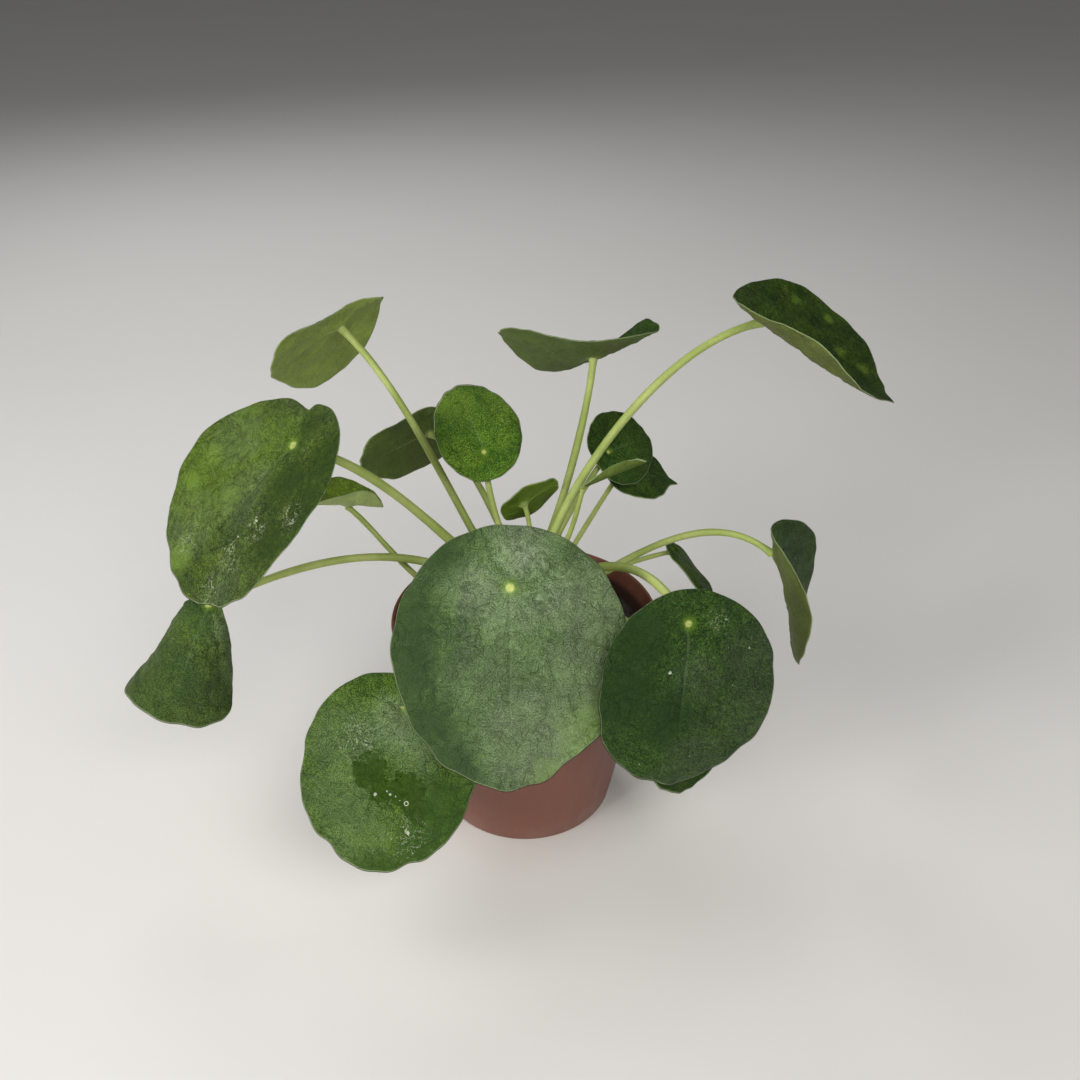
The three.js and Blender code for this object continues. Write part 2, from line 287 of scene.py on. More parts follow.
def makePot():
    lipFoot = pot["height"] - pot["lipHeight"]
    wall = pot["wall"]
    profile = [(pot["baseRadius"] - 1.6, 0.0), (pot["baseRadius"] - 0.6, 0.25), (pot["baseRadius"], 1.2)]
    for z in (12, 24, 36, 48, 60, 72):
        profile.append((wallAt(z), z))
    profile += [
        (wallAt(lipFoot - 0.4), lipFoot - 0.4), (wallAt(lipFoot) + 0.6, lipFoot + 0.2),
        (wallAt(lipFoot) + pot["lipStep"], lipFoot + 0.9), (pot["topRadius"], pot["height"] - 0.9),
        (pot["topRadius"] - 0.15, pot["height"] - 0.3), (pot["topRadius"] - 0.6, pot["height"]),
        (pot["topRadius"] - wall + 0.2, pot["height"] - 0.1),
        (pot["topRadius"] - wall, pot["height"] - 0.6), (wallAt(lipFoot) - wall, lipFoot),
    ]
    for z in (70, 55, 40, 25, 10):
        profile.append((wallAt(z) - wall, z))
    profile += [(wallAt(2) - wall, pot["floor"] + 0.6), (wallAt(2) - wall - 1.0, pot["floor"])]
    piece = turnedPiece("potShell", profile, pot["segments"])
    for i in range(pot["drains"]):
        angle = math.pi / 4 + i * 2 * math.pi / pot["drains"]
        x, y = pot["drainCircle"] * mm * math.cos(angle), pot["drainCircle"] * mm * math.sin(angle)
        bpy.ops.mesh.primitive_cylinder_add(vertices=40, radius=pot["drainRadius"] * mm, depth=12 * mm,
                                            location=(x, y, 0))
        cutter = bpy.context.object
        pickOnly(piece)
        cut = piece.modifiers.new("drain", "BOOLEAN")
        cut.operation = "DIFFERENCE"
        cut.object = cutter
        bpy.ops.object.modifier_apply(modifier="drain")
        bpy.data.objects.remove(cutter)
    tidyMesh(piece)
    pickOnly(piece)
    bpy.ops.object.shade_smooth_by_angle(angle=math.radians(32))
    return piece


def potMaterial():
    material, tree, shader = startMaterial("brownPlastic", (0.33, 0.13, 0.09), IOR=1.46)
    place = objectPlace(tree)
    axes = addNode(tree, "ShaderNodeSeparateXYZ", {0: place}).outputs
    radius = maths(tree, "SQRT", plus(tree, times(tree, axes[0], axes[0]), times(tree, axes[1], axes[1])))
    cloud = noiseAt(tree, place, 28.0, 4.0, 0.6)
    grain = noiseAt(tree, place, 900.0, 2.0, 0.5)
    streak = noiseAt(tree, vectorMath(tree, "MULTIPLY", place, (1.0, 1.0, 0.12)), 160.0, 3.0)

    def paint(color, mask, label):
        return mixColor(tree, mask, color, rgb(*pot[label]))

    color = mixColor(tree, cloud, rgb(*pot["dark"]), rgb(*pot["light"]))
    color = paint(color, fade(tree, streak, 0.52, 0.75, 0.0, 0.28), "streak")
    color = paint(color, fade(tree, grain, 0.45, 0.8, 0.0, 0.12), "grain")
    # inside the wall it is painted darker, a painted shade on the shadowed inner wall, and darker still
    # lower down
    slope = (wallAt(pot["height"]) - wallAt(0)) / pot["height"]
    outside = plus(tree, times(tree, axes[2], slope), (pot["baseRadius"] - 0.6) * mm)
    inner = fade(tree, minus(tree, outside, radius), 0.0004, 0.0011)
    color = paint(color, times(tree, inner, 0.92), "inside")
    lowerInside = fade(tree, plus(tree, axes[2], times(tree, cloud, 0.012)), 0.092, 0.085)
    color = paint(color, times(tree, times(tree, inner, lowerInside), 0.7), "lowerInside")
    # a few dark flecks and fine scuffs, with splashes of soil near the foot
    flecks = addNode(tree, "ShaderNodeTexVoronoi", {"Vector": place, "Scale": 46.0}).outputs
    some = fade(tree, addNode(tree, "ShaderNodeSeparateColor", {0: flecks["Color"]}).outputs[0], 0.93, 0.95)
    dots = times(tree, some, fade(tree, flecks["Distance"], 0.045, 0.025))
    color = paint(color, times(tree, dots, 0.8), "fleck")
    dust = times(tree, fade(tree, axes[2], 0.012, 0.0), fade(tree, cloud, 0.35, 0.7))
    color = paint(color, times(tree, dust, 0.25), "dust")
    rough = plus(tree, fade(tree, streak, 0.3, 0.7, 0.40, 0.52), times(tree, inner, 0.15))
    height = plus(tree, times(tree, grain, 0.5), times(tree, streak, 0.6))
    linkAll(tree, shader, Base_Color=color, Roughness=rough, Normal=bumpFrom(tree, height, 0.25, 0.0003))
    return material


handOver(makePot(), "pot", potMaterial())
print("pot ready")


# the soil, in millimetres: a bed with loose crumbs on it
soil = {
    "foot": 2.2, "level": 78.0, "dish": 4.0, "ripple": 1.2, "gap": 0.5, "rings": 46,
    "holeX": 4.0, "holeY": 2.0, "holeRadius": 5.2,
    "crumbs": 620, "crumbShapes": 16, "fine": (0.45, 1.5), "coarse": (1.5, 2.6), "fineShare": 0.85,
    "seed": 7,
    "dark": (0.007, 0.0055, 0.0045), "light": (0.034, 0.024, 0.016), "grit": (0.085, 0.06, 0.038),
    "fibre": (0.12, 0.08, 0.045),
}


def soilReach(z):
    return wallAt(z) - pot["wall"] - soil["gap"]


def soilHeight(x, y):
    # the same low swells as the solid has, with lumps on top
    rim = soilReach(soil["level"])
    inside = max(0.0, 1 - math.hypot(x, y) / rim)
    swell = math.sin(0.16 * x + 0.5) * math.cos(0.19 * y) + 0.5 * math.sin(0.3 * (x - y))
    lump = noise.noise(Vector((x * 0.22, y * 0.22, 1.7))) * 1.6 + noise.noise(Vector((x, y, 5)) * 0.6) * 0.9
    dish = soil["dish"] * min(1, 3 * inside)
    return soil["level"] - 0.5 - dish + soil["ripple"] * swell * min(1, 4 * inside) + lump


def makeSoil():
    rim = soilReach(soil["level"])
    profile = [(soilReach(soil["foot"]), soil["foot"]), (rim, soil["level"])]
    for i in range(1, soil["rings"]):
        profile.append((rim * (1 - i / (soil["rings"] + 0.5)), soil["level"]))
    bed = turnedPiece("soilBed", profile, 150)
    points = readPoints(bed.data)
    for point in points:
        if point[2] > (soil["level"] - 0.01) * mm:
            point[2] = soilHeight(point[0] / mm, point[1] / mm) * mm
    writePoints(bed.data, points)
    tidyMesh(bed)
    shapes = random.Random(soil["seed"])
    models = []
    for _ in range(soil["crumbShapes"]):
        deselectAll()
        bpy.ops.mesh.primitive_ico_sphere_add(subdivisions=1, radius=mm)
        model = bpy.context.object
        shape = readPoints(model.data)
        for point in shape:
            point *= shapes.uniform(0.65, 1.2)
        stretch = (shapes.uniform(0.7, 1.5), shapes.uniform(0.6, 1.0), shapes.uniform(0.45, 0.9))
        writePoints(model.data, shape * stretch)
        models.append(model)
    crumbs = [bed]
    for i in range(soil["crumbs"]):
        reach = rim * math.sqrt(shapes.random()) * 0.97
        angle = shapes.uniform(0, 2 * math.pi)
        x, y = reach * math.cos(angle), reach * math.sin(angle)
        if math.hypot(x - soil["holeX"], y - soil["holeY"]) < soil["holeRadius"] + 1.2:
            continue
        size = shapes.uniform(*(soil["fine"] if shapes.random() < soil["fineShare"] else soil["coarse"]))
        inward = min(1.0, (rim - size * 1.5) / max(reach, 0.1))
        crumb = models[i % len(models)].copy()
        crumb.data = crumb.data.copy()
        crumb.location = (x * inward * mm, y * inward * mm, (soilHeight(x, y) + size * 0.3) * mm)
        crumb.rotation_euler = (0, 0, shapes.uniform(0, math.pi))
        crumb.scale = (size, size, size)
        bpy.context.collection.objects.link(crumb)
        crumbs.append(crumb)
    for model in models:
        bpy.data.objects.remove(model)
    piece = join(crumbs, "soilTop")
    pickOnly(piece)
    bpy.ops.object.shade_smooth_by_angle(angle=math.radians(45))
    return piece


def soilMaterial():
    material, tree, shader = startMaterial("darkPeat", (0.02, 0.016, 0.012))
    place = objectPlace(tree)
    clumps = noiseAt(tree, place, 240.0, 5.0, 0.65)
    grains = noiseAt(tree, place, 1400.0, 3.0, 0.6)
    fibre = noiseAt(tree, vectorMath(tree, "MULTIPLY", place, (1.0, 0.25, 1.0)), 900.0, 2.0, 0.5, 1.5)
    color = mixColor(tree, fade(tree, clumps, 0.3, 0.7), rgb(*soil["dark"]), rgb(*soil["light"]))
    color = mixColor(tree, fade(tree, grains, 0.62, 0.75, 0.0, 0.5), color, rgb(*soil["grit"]))
    color = mixColor(tree, fade(tree, fibre, 0.7, 0.78, 0.0, 0.5), color, rgb(*soil["fibre"]))
    height = plus(tree, clumps, times(tree, grains, 0.5))
    linkAll(tree, shader, Base_Color=color, Roughness=fade(tree, clumps, 0.3, 0.7, 0.72, 0.95),
            Normal=bumpFrom(tree, height, 0.8, 0.0008))
    return material


handOver(makeSoil(), "soil", soilMaterial())
print("soil ready")


# the main stem, in millimetres
trunk = {
    "x": 4.0, "y": 2.0, "radius": 5.0, "foot": 66.0, "top": 108.0, "bud": 7.0, "scars": 26, "scales": 9,
    "around": 64, "rows": 150, "seed": 4, "scaleWidth": 1.9, "scaleLength": 4.2,
    "dark": (0.075, 0.050, 0.028), "light": (0.21, 0.16, 0.09), "ring": (0.05, 0.032, 0.02),
    "young": (0.27, 0.34, 0.10),
}


def makeTrunk():
    # a flat grid rolled into a rod, ringed and scarred, and closed at both ends further down
    deselectAll()
    bpy.ops.mesh.primitive_grid_add(x_subdivisions=trunk["around"], y_subdivisions=trunk["rows"], size=1)
    sheet = bpy.context.object
    points = readPoints(sheet.data)
    shapes = random.Random(trunk["seed"])
    scars = [(shapes.uniform(0, 2 * math.pi), shapes.uniform(70, 106)) for _ in range(trunk["scars"])]
    end = trunk["top"] + trunk["bud"]
    for point in points:
        angle = (point[0] + 0.5) * 2 * math.pi
        z = trunk["foot"] + (point[1] + 0.5) * (end - trunk["foot"])
        radius = trunk["radius"] - 0.35
        if z > trunk["top"] - 2:
            share = (z - trunk["top"] + 2) / (trunk["bud"] + 2)
            radius *= math.sqrt(max(0.0, 1 - share ** 1.3))
        bark = noise.noise(Vector((math.cos(angle) * 2, math.sin(angle) * 2, z * 0.8)))
        ring = 0.22 * math.sin(z * 1.9 + 1.3 * math.sin(angle))
        radius += (bark * 0.3 + ring) * min(1.0, radius / 3)
        for scarAngle, scarZ in scars:
            away = math.hypot(((angle - scarAngle + math.pi) % (2 * math.pi) - math.pi) * 5, z - scarZ)
            radius += 0.45 * math.exp(-((away - 1.5) / 0.5) ** 2) - 0.35 * math.exp(-(away / 1.1) ** 2)
        radius = max(radius, 0.0)
        point[:] = (trunk["x"] + radius * math.cos(angle), trunk["y"] + radius * math.sin(angle), z)
    writePoints(sheet.data, points * mm)
    parts = [sheet]
    # small papery scales that wrap the growing end
    for i in range(trunk["scales"]):
        angle = i * 2.4
        low = trunk["top"] - 3.5 + i * 0.75
        deselectAll()
        bpy.ops.mesh.primitive_uv_sphere_add(segments=20, ring_count=14, radius=1)
        scale = bpy.context.object
        shape = readPoints(scale.data)
        width = trunk["scaleWidth"] - 0.1 * i
        up = (shape[:, 2] + 1) / 2
        out = (3.9 - 0.33 * i) * (1 - 0.45 * up ** 2) + shape[:, 0] * 0.28
        side = shape[:, 1] * width * (1 - up ** 2 * 0.6)
        solid = np.empty_like(shape)
        solid[:, 0] = trunk["x"] + out * math.cos(angle) - side * math.sin(angle)
        solid[:, 1] = trunk["y"] + out * math.sin(angle) + side * math.cos(angle)
        solid[:, 2] = low + up * trunk["scaleLength"]
        writePoints(scale.data, solid * mm)
        parts.append(scale)
    piece = join(parts, "trunk")
    tidyMesh(piece, 0.00002)
    pickOnly(piece)
    bpy.ops.object.mode_set(mode="EDIT")
    bpy.ops.mesh.select_all(action="SELECT")
    bpy.ops.mesh.fill_holes(sides=80)
    bpy.ops.mesh.normals_make_consistent(inside=False)
    bpy.ops.object.mode_set(mode="OBJECT")
    bpy.ops.object.shade_smooth_by_angle(angle=math.radians(60))
    return piece


def trunkMaterial():
    material, tree, shader = startMaterial("scarredBark", (0.16, 0.12, 0.07))
    place = objectPlace(tree)
    height = addNode(tree, "ShaderNodeSeparateXYZ", {0: place}).outputs[2]
    bark = noiseAt(tree, place, 420.0, 5.0, 0.65)
    rings = noiseAt(tree, vectorMath(tree, "MULTIPLY", place, (0.3, 0.3, 2.4)), 500.0, 3.0)
    color = mixColor(tree, fade(tree, bark, 0.3, 0.7), rgb(*trunk["dark"]), rgb(*trunk["light"]))
    color = mixColor(tree, fade(tree, rings, 0.55, 0.7, 0.0, 0.6), color, rgb(*trunk["ring"]))
    young = fade(tree, plus(tree, height, times(tree, bark, 0.008)), 0.104, 0.114)
    color = mixColor(tree, young, color, rgb(*trunk["young"]))
    lift = plus(tree, bark, times(tree, rings, 0.8))
    linkAll(tree, shader, Base_Color=color, Roughness=fade(tree, bark, 0.3, 0.7, 0.85, 0.6),
            Normal=bumpFrom(tree, lift, 0.6, 0.0005))
    return material


handOver(makeTrunk(), "main_stem", trunkMaterial())
print("main stem ready")


# The pattern that every blade shares runs on each blade's own flat coordinates: across and along in
# centimetres from the spot, and the share of the way to the edge. They are kept in the mesh as the
# attribute leafFlat. Scales are per centimetre.
leafSkin = {
    "veinStep": math.radians(40), "veinBend": 0.16, "veinRoot": 0.050, "veinTip": 0.024, "faintVeins": 0.36,
    "midribRoot": 0.095, "midribTip": 0.03, "strokes": 6.5, "rays": 1.8, "creases": 1.3, "fineCreases": 5.2,
    "cushions": 2.1, "grain": 21.0, "mottle": 0.9, "dust": 3.4,
}


def leafPatternGroup():
    tree, given = startGroup("leafPattern", {"Seed": 0.0, "SpotSize": 0.22, "RimWidth": 0.016})
    axes = addNode(tree, "ShaderNodeSeparateXYZ", {0: given["Flat"]}).outputs
    across, along, share = axes[0], axes[1], axes[2]
    plane = addNode(tree, "ShaderNodeCombineXYZ", {0: across, 1: along, 2: given["Seed"]}).outputs[0]
    reach = maths(tree, "SQRT", plus(tree, times(tree, across, across), times(tree, along, along)))
    angle = maths(tree, "ARCTAN2", across, along)
    masks = {}

    def midway(value):
        return maths(tree, "ABSOLUTE", minus(tree, value, 0.5))

    # main veins leave the spot at even angles and bend towards the tip, and fade in and out
    back = minus(tree, 1.0, maths(tree, "DIVIDE", maths(tree, "ABSOLUTE", angle), math.pi))
    swept = times(tree, times(tree, reach, leafSkin["veinBend"]), back)
    wander = minus(tree, noiseAt(tree, plane, 1.4, 2.0), 0.5)
    bent = plus(tree, times(tree, angle, plus(tree, swept, 1.0)), times(tree, wander, 0.42))
    step = leafSkin["veinStep"]
    near = midway(maths(tree, "FRACT", plus(tree, maths(tree, "DIVIDE", bent, step), 0.5)))
    near = times(tree, times(tree, near, step), reach)
    width = fade(tree, share, 0.0, 1.0, leafSkin["veinRoot"], leafSkin["veinTip"])
    vein = minus(tree, 1.0, maths(tree, "DIVIDE", near, width), clamp=True)
    vein = times(tree, vein, fade(tree, share, 0.45, 0.90, 1.0, 0.0))
    shown = fade(tree, noiseAt(tree, plane, 0.9, 3.0, 0.6), 0.36, 0.62)
    # the pair beside the midrib is the clearest, the others are faint
    spread = maths(tree, "ABSOLUTE", bent)
    clear = fade(tree, spread, step * 1.35, step * 1.65, 1.0, leafSkin["faintVeins"])
    clear = times(tree, clear, fade(tree, spread, step * 0.45, step * 0.55))
    clear = times(tree, clear, fade(tree, reach, 0.5, 1.6))
    masks["Veins"] = times(tree, times(tree, vein, shown), clear)
    slack = times(tree, times(tree, wander, 0.22), share)
    line = maths(tree, "ABSOLUTE", plus(tree, across, slack))
    width = fade(tree, share, 0.0, 0.9, leafSkin["midribRoot"], leafSkin["midribTip"])
    rib = minus(tree, 1.0, maths(tree, "DIVIDE", line, width), clamp=True)
    rib = times(tree, rib, fade(tree, along, 0.0, 0.25))
    masks["Midrib"] = times(tree, rib, fade(tree, share, 0.25, 0.85, 1.0, 0.0))
    # leathery skin: strokes a millimetre or two wide, rays round the spot, and thin creases
    loose = addNode(tree, "ShaderNodeTexNoise", {"Vector": plane, "Scale": 1.6, "Detail": 2.0})
    loose = loose.outputs["Color"]
    pulled = vectorMath(tree, "ADD", plane, vectorMath(tree, "MULTIPLY", loose, (0.35, 0.35, 0.0)))
    ray = addNode(tree, "ShaderNodeCombineXYZ",
                  {0: times(tree, maths(tree, "DIVIDE", across, reach), 4.0),
                   1: times(tree, maths(tree, "DIVIDE", along, reach), 4.0),
                   2: plus(tree, times(tree, reach, 1.1), given["Seed"])}).outputs[0]
    rays = noiseAt(tree, ray, leafSkin["rays"], 3.0, 0.6, 0.5)
    strokes = noiseAt(tree, pulled, leafSkin["strokes"], 5.0, 0.70, 0.35)
    masks["Leather"] = plus(tree, times(tree, rays, fade(tree, reach, 0.4, 2.4, 0.8, 0.1)), strokes)
    ridge = midway(noiseAt(tree, pulled, leafSkin["creases"], 5.0, 0.56, 0.4))
    fine = midway(noiseAt(tree, pulled, leafSkin["fineCreases"], 3.0, 0.6, 0.4))
    crease = times(tree, fade(tree, ridge, 0.020, 0.0), shown)
    crease = plus(tree, crease, fade(tree, fine, 0.05, 0.0, 0.0, 0.3))
    # here and there low cushions with a crease between them
    warped = vectorMath(tree, "ADD", plane, vectorMath(tree, "MULTIPLY", loose, (0.8, 0.8, 0.0)))
    cells = addNode(tree, "ShaderNodeTexVoronoi", {"Vector": warped, "Scale": leafSkin["cushions"]},
                    feature="DISTANCE_TO_EDGE").outputs["Distance"]
    somewhere = fade(tree, noiseAt(tree, plane, 1.1, 3.0, 0.6), 0.62, 0.42)
    masks["Creases"] = plus(tree, crease, times(tree, fade(tree, cells, 0.055, 0.0, 0.0, 0.9), somewhere))
    masks["Cushions"] = times(tree, fade(tree, cells, 0.0, 0.32), somewhere)
    masks["Grain"] = noiseAt(tree, plane, leafSkin["grain"], 3.0, 0.65)
    masks["Mottle"] = noiseAt(tree, plane, leafSkin["mottle"], 5.0, 0.62, 0.4)
    size, rim = given["SpotSize"], given["RimWidth"]
    rag = plus(tree, reach, times(tree, wander, 0.10))
    masks["Spot"] = fade(tree, rag, size, times(tree, size, 0.40))
    masks["Halo"] = fade(tree, rag, times(tree, size, 2.3), times(tree, size, 0.6))
    # a thin band along the edge, which the material paints pale: a painted edge highlight
    inner = minus(tree, 1.0, rim)
    masks["Rim"] = fade(tree, share, minus(tree, inner, rim), inner)
    # stray dust: tiny pale grains
    grains = addNode(tree, "ShaderNodeTexVoronoi", {"Vector": plane, "Scale": leafSkin["dust"]}).outputs
    few = fade(tree, addNode(tree, "ShaderNodeSeparateColor", {0: grains["Color"]}).outputs[0], 0.90, 0.92)
    masks["Dust"] = times(tree, few, fade(tree, grains["Distance"], 0.075, 0.045))
    return finishGroup(tree, masks)


def patchGroup():
    # a soft round patch at a place on the blade, its edge broken by noise
    tree, given = startGroup("leafPatch", {"Across": 0.0, "Along": 0.0, "Size": 0.4, "Ragged": 0.5})
    size = given["Size"]
    middle = addNode(tree, "ShaderNodeCombineXYZ", {0: given["Across"], 1: given["Along"]}).outputs[0]
    flat = vectorMath(tree, "MULTIPLY", given["Flat"], (1.0, 1.0, 0.0))
    away = addNode(tree, "ShaderNodeVectorMath", {0: flat, 1: middle}, operation="DISTANCE")
    rag = times(tree, minus(tree, noiseAt(tree, flat, 4.0, 3.0), 0.5), given["Ragged"])
    away = plus(tree, away.outputs["Value"], times(tree, rag, size))
    return finishGroup(tree, {"Mask": fade(tree, away, size, times(tree, size, 0.35))})


leafPattern = leafPatternGroup()
leafPatch = patchGroup()


def patchMask(tree, flat, spot):
    # a spot is across, along, size and raggedness, and a strength where it is weaker
    made = addNode(tree, "ShaderNodeGroup", node_tree=leafPatch)
    tree.links.new(flat, made.inputs["Flat"])
    for label, value in zip(("Across", "Along", "Size", "Ragged"), spot):
        made.inputs[label].default_value = value
    return times(tree, made.outputs["Mask"], spot[4]) if len(spot) > 4 else made.outputs["Mask"]


def patches(tree, flat, spots):
    mask = None
    for spot in spots:
        patch = patchMask(tree, flat, spot)
        mask = maths(tree, "MAXIMUM", mask, patch) if mask else patch
    return mask


# What a leaf's own look may change. Patches are listed by place, in centimetres: yellow mottles, painted
# sheen (pale strokes painted where the sheen falls), duller parts painted deeper green as painted shade,
# wet parts, dried scribbles, dots and rings.
plainLook = {
    "deep": (0.017, 0.056, 0.009), "fresh": (0.045, 0.112, 0.017), "under": (0.120, 0.190, 0.055),
    "gloss": 0.40, "shine": 0.45, "paintedSheenAmount": 0.45, "grain": 0.55, "emboss": 1.0, "veinShade": 0.6, "dust": 0.6,
    "seed": 0.0, "yellow": [], "paintedSheen": [], "dullAndPaintedShade": [], "wet": [], "scribble": [], "dots": [], "ring": [],
}
# colour of each layer, and how much of what lies below it covers
leafPaint = {
    "yellow": (0.20, 0.33, 0.035, 0.80), "vein": (0.010, 0.034, 0.008, 1.0),
    "crease": (0.010, 0.034, 0.008, 0.20), "midrib": (0.15, 0.235, 0.10, 0.38),
    "halo": (0.24, 0.42, 0.035, 0.60), "paintedSheen": (0.33, 0.42, 0.25, 1.0),
    "wet": (0.040, 0.092, 0.004, 0.95), "dried": (0.56, 0.64, 0.42, 0.75),
    "dot": (0.70, 0.75, 0.60, 0.85), "ring": (0.74, 0.78, 0.62, 1.0),
    "spot": (0.84, 0.95, 0.30, 1.0), "dust": (0.66, 0.72, 0.58, 1.0),
    "underVein": (0.28, 0.36, 0.13, 0.45), "underSpot": (0.36, 0.45, 0.15, 1.0),
    "rim": (0.42, 0.53, 0.27, 0.85),
}
# how far each part of the pattern stands out of the blade, or sinks into it
leafLift = {
    "Leather": 0.55, "Grain": 0.24, "Veins": -0.16, "Creases": -0.20, "Midrib": -0.12, "Cushions": 0.16,
}


def bladeMaterial(name, leaf):
    look = {**plainLook, **leaf["look"]}
    material, tree, shader = startMaterial("blade_" + name, look["fresh"], IOR=1.47)
    flat = addNode(tree, "ShaderNodeAttribute", attribute_name="leafFlat").outputs["Vector"]
    side = addNode(tree, "ShaderNodeAttribute", attribute_name="leafSide").outputs["Fac"]
    pattern = addNode(tree, "ShaderNodeGroup", node_tree=leafPattern)
    tree.links.new(flat, pattern.inputs["Flat"])
    pattern.inputs["Seed"].default_value = look["seed"]
    pattern.inputs["SpotSize"].default_value = 0.08 + 0.0014 * leaf["width"]
    pattern.inputs["RimWidth"].default_value = min(0.018, 0.42 / leaf["width"])
    mask = pattern.outputs

    def paint(color, cover, layer):
        *tint, share = leafPaint[layer]
        return mixColor(tree, times(tree, cover, share), color, rgb(*tint))

    tone = plus(tree, times(tree, mask["Mottle"], 0.62), times(tree, mask["Grain"], 0.38))
    tone = fade(tree, tone, 0.36, 0.64)
    color = mixColor(tree, tone, rgb(*look["deep"]), rgb(*look["fresh"]))
    # painted light and shade on the relief: the raised grains and strokes of the skin are painted paler
    # than the grooves
    grain = fade(tree, mask["Grain"], 0.32, 0.68, 1 - look["grain"], 1 + 1.3 * look["grain"])
    color = mixColor(tree, 1.0, color, grain, "MULTIPLY")
    color = mixColor(tree, 1.0, color, fade(tree, mask["Leather"], 0.55, 1.10, 0.82, 1.34), "MULTIPLY")
    for spot in look["yellow"]:
        color = paint(color, patchMask(tree, flat, spot), "yellow")
    # painted shade: the sunken veins and the creases are painted darker, as shade falls in their grooves;
    # the pale midrib and the halo round the spot are the blade's own colour
    color = paint(color, times(tree, mask["Veins"], look["veinShade"]), "vein")
    for label, layer in (("Creases", "crease"), ("Midrib", "midrib"), ("Halo", "halo")):
        color = paint(color, mask[label], layer)
    # painted sheen: pale strokes painted on the raised skin, a painted highlight where the sheen falls
    paintedSheen = patches(tree, flat, look["paintedSheen"])
    if paintedSheen:
        texture = times(tree, fade(tree, mask["Leather"], 0.52, 1.02, 0.25, 1.0),
                        fade(tree, mask["Grain"], 0.36, 0.64, 0.45, 1.25))
        color = paint(color, times(tree, times(tree, paintedSheen, texture), look["paintedSheenAmount"]), "paintedSheen")
    # in these patches the blade is rougher and shines less, and it is painted deeper green as painted shade
    dullAndPaintedShade = patches(tree, flat, look["dullAndPaintedShade"])
    if dullAndPaintedShade:
        color = mixColor(tree, times(tree, dullAndPaintedShade, 0.75), color, rgb(*look["deep"]))
    wet = patches(tree, flat, look["wet"])
    if wet:
        wet = fade(tree, wet, 0.25, 0.5)
        color = paint(color, wet, "wet")
    for spot in look["scribble"]:
        # dried drops: thin pale lines along the level curves of a noise
        drift = noiseAt(tree, flat, 1.2, 3.0, 0.6, 0.8)
        other = noiseAt(tree, vectorMath(tree, "ADD", flat, (7.0, 3.0, 0.0)), 1.9, 3.0, 0.6, 0.8)
        line = maths(tree, "MINIMUM", maths(tree, "ABSOLUTE", minus(tree, drift, 0.5)),
                     maths(tree, "ABSOLUTE", minus(tree, other, 0.5)))
        broken = fade(tree, noiseAt(tree, flat, 9.0, 2.0), 0.38, 0.55)
        thin = times(tree, fade(tree, line, 0.011, 0.003), broken)
        color = paint(color, times(tree, thin, patchMask(tree, flat, spot)), "dried")
    for spot in look["dots"]:
        color = paint(color, fade(tree, patchMask(tree, flat, spot), 0.1, 0.4), "dot")
    for spot in look["ring"]:
        # single dried drops, a bright broken ring each
        ring = patchMask(tree, flat, spot)
        color = paint(color, times(tree, fade(tree, ring, 0.10, 0.35), fade(tree, ring, 0.98, 0.7)), "ring")
    color = paint(color, mask["Spot"], "spot")
    color = paint(color, times(tree, mask["Dust"], look["dust"]), "dust")
    # under face: pale and dull, its veins lighter than the rest; part of its pale colour is painted light
    # shining through the blade from behind
    darker, lighter = [c * 0.80 for c in look["under"]], [c * 1.20 for c in look["under"]]
    below = mixColor(tree, tone, rgb(*darker), rgb(*lighter))
    below = paint(below, maths(tree, "MAXIMUM", mask["Veins"], mask["Midrib"]), "underVein")
    below = paint(below, mask["Halo"], "underSpot")
    upper = fade(tree, side, -0.3, 0.3)
    # the pale line along the edge is a painted edge highlight
    color = paint(mixColor(tree, upper, below, color), mask["Rim"], "rim")
    rough = fade(tree, mask["Mottle"], 0.25, 0.75, look["gloss"] - 0.05, look["gloss"] + 0.07)
    if wet:
        rough = minus(tree, rough, times(tree, wet, 0.14))
    if dullAndPaintedShade:
        rough = plus(tree, rough, times(tree, dullAndPaintedShade, 0.42))
    rough = plus(tree, rough, times(tree, minus(tree, 1.0, upper), 0.14))
    height = 0.0
    for label, lift in leafLift.items():
        height = plus(tree, height, times(tree, mask[label], lift))
    height = times(tree, height, fade(tree, side, -0.3, 0.3, -0.6, 1.0))
    shader.inputs["Specular IOR Level"].default_value = look["shine"]
    linkAll(tree, shader, Base_Color=color, Roughness=rough,
            Normal=bumpFrom(tree, height, 1.0, 0.0015 * look["emboss"]))
    return material


# Each leaf, in millimetres and degrees: where its spot is, which way it leans and turns, its outline
# (back is the share of its length behind the spot, and a notch lies at an angle from the tip), its curl,
# its stalk and its look. The plain row holds for whatever a leaf's own row leaves out. Each leaf's deep,
# fresh and under colours are also set lighter or darker by how much light reaches that leaf: painted
# light and shade, brightest in the cupped leaf.
plain = {
    "cup": (0, 0), "droop": 0, "flare": 0, "wave": 1.0, "waves": 5, "phase": 0,
    "egg": 0.06, "dimple": 1.5, "point": 0, "shift": 0, "notches": [], "scallop": 0.010, "aside": 0,
}

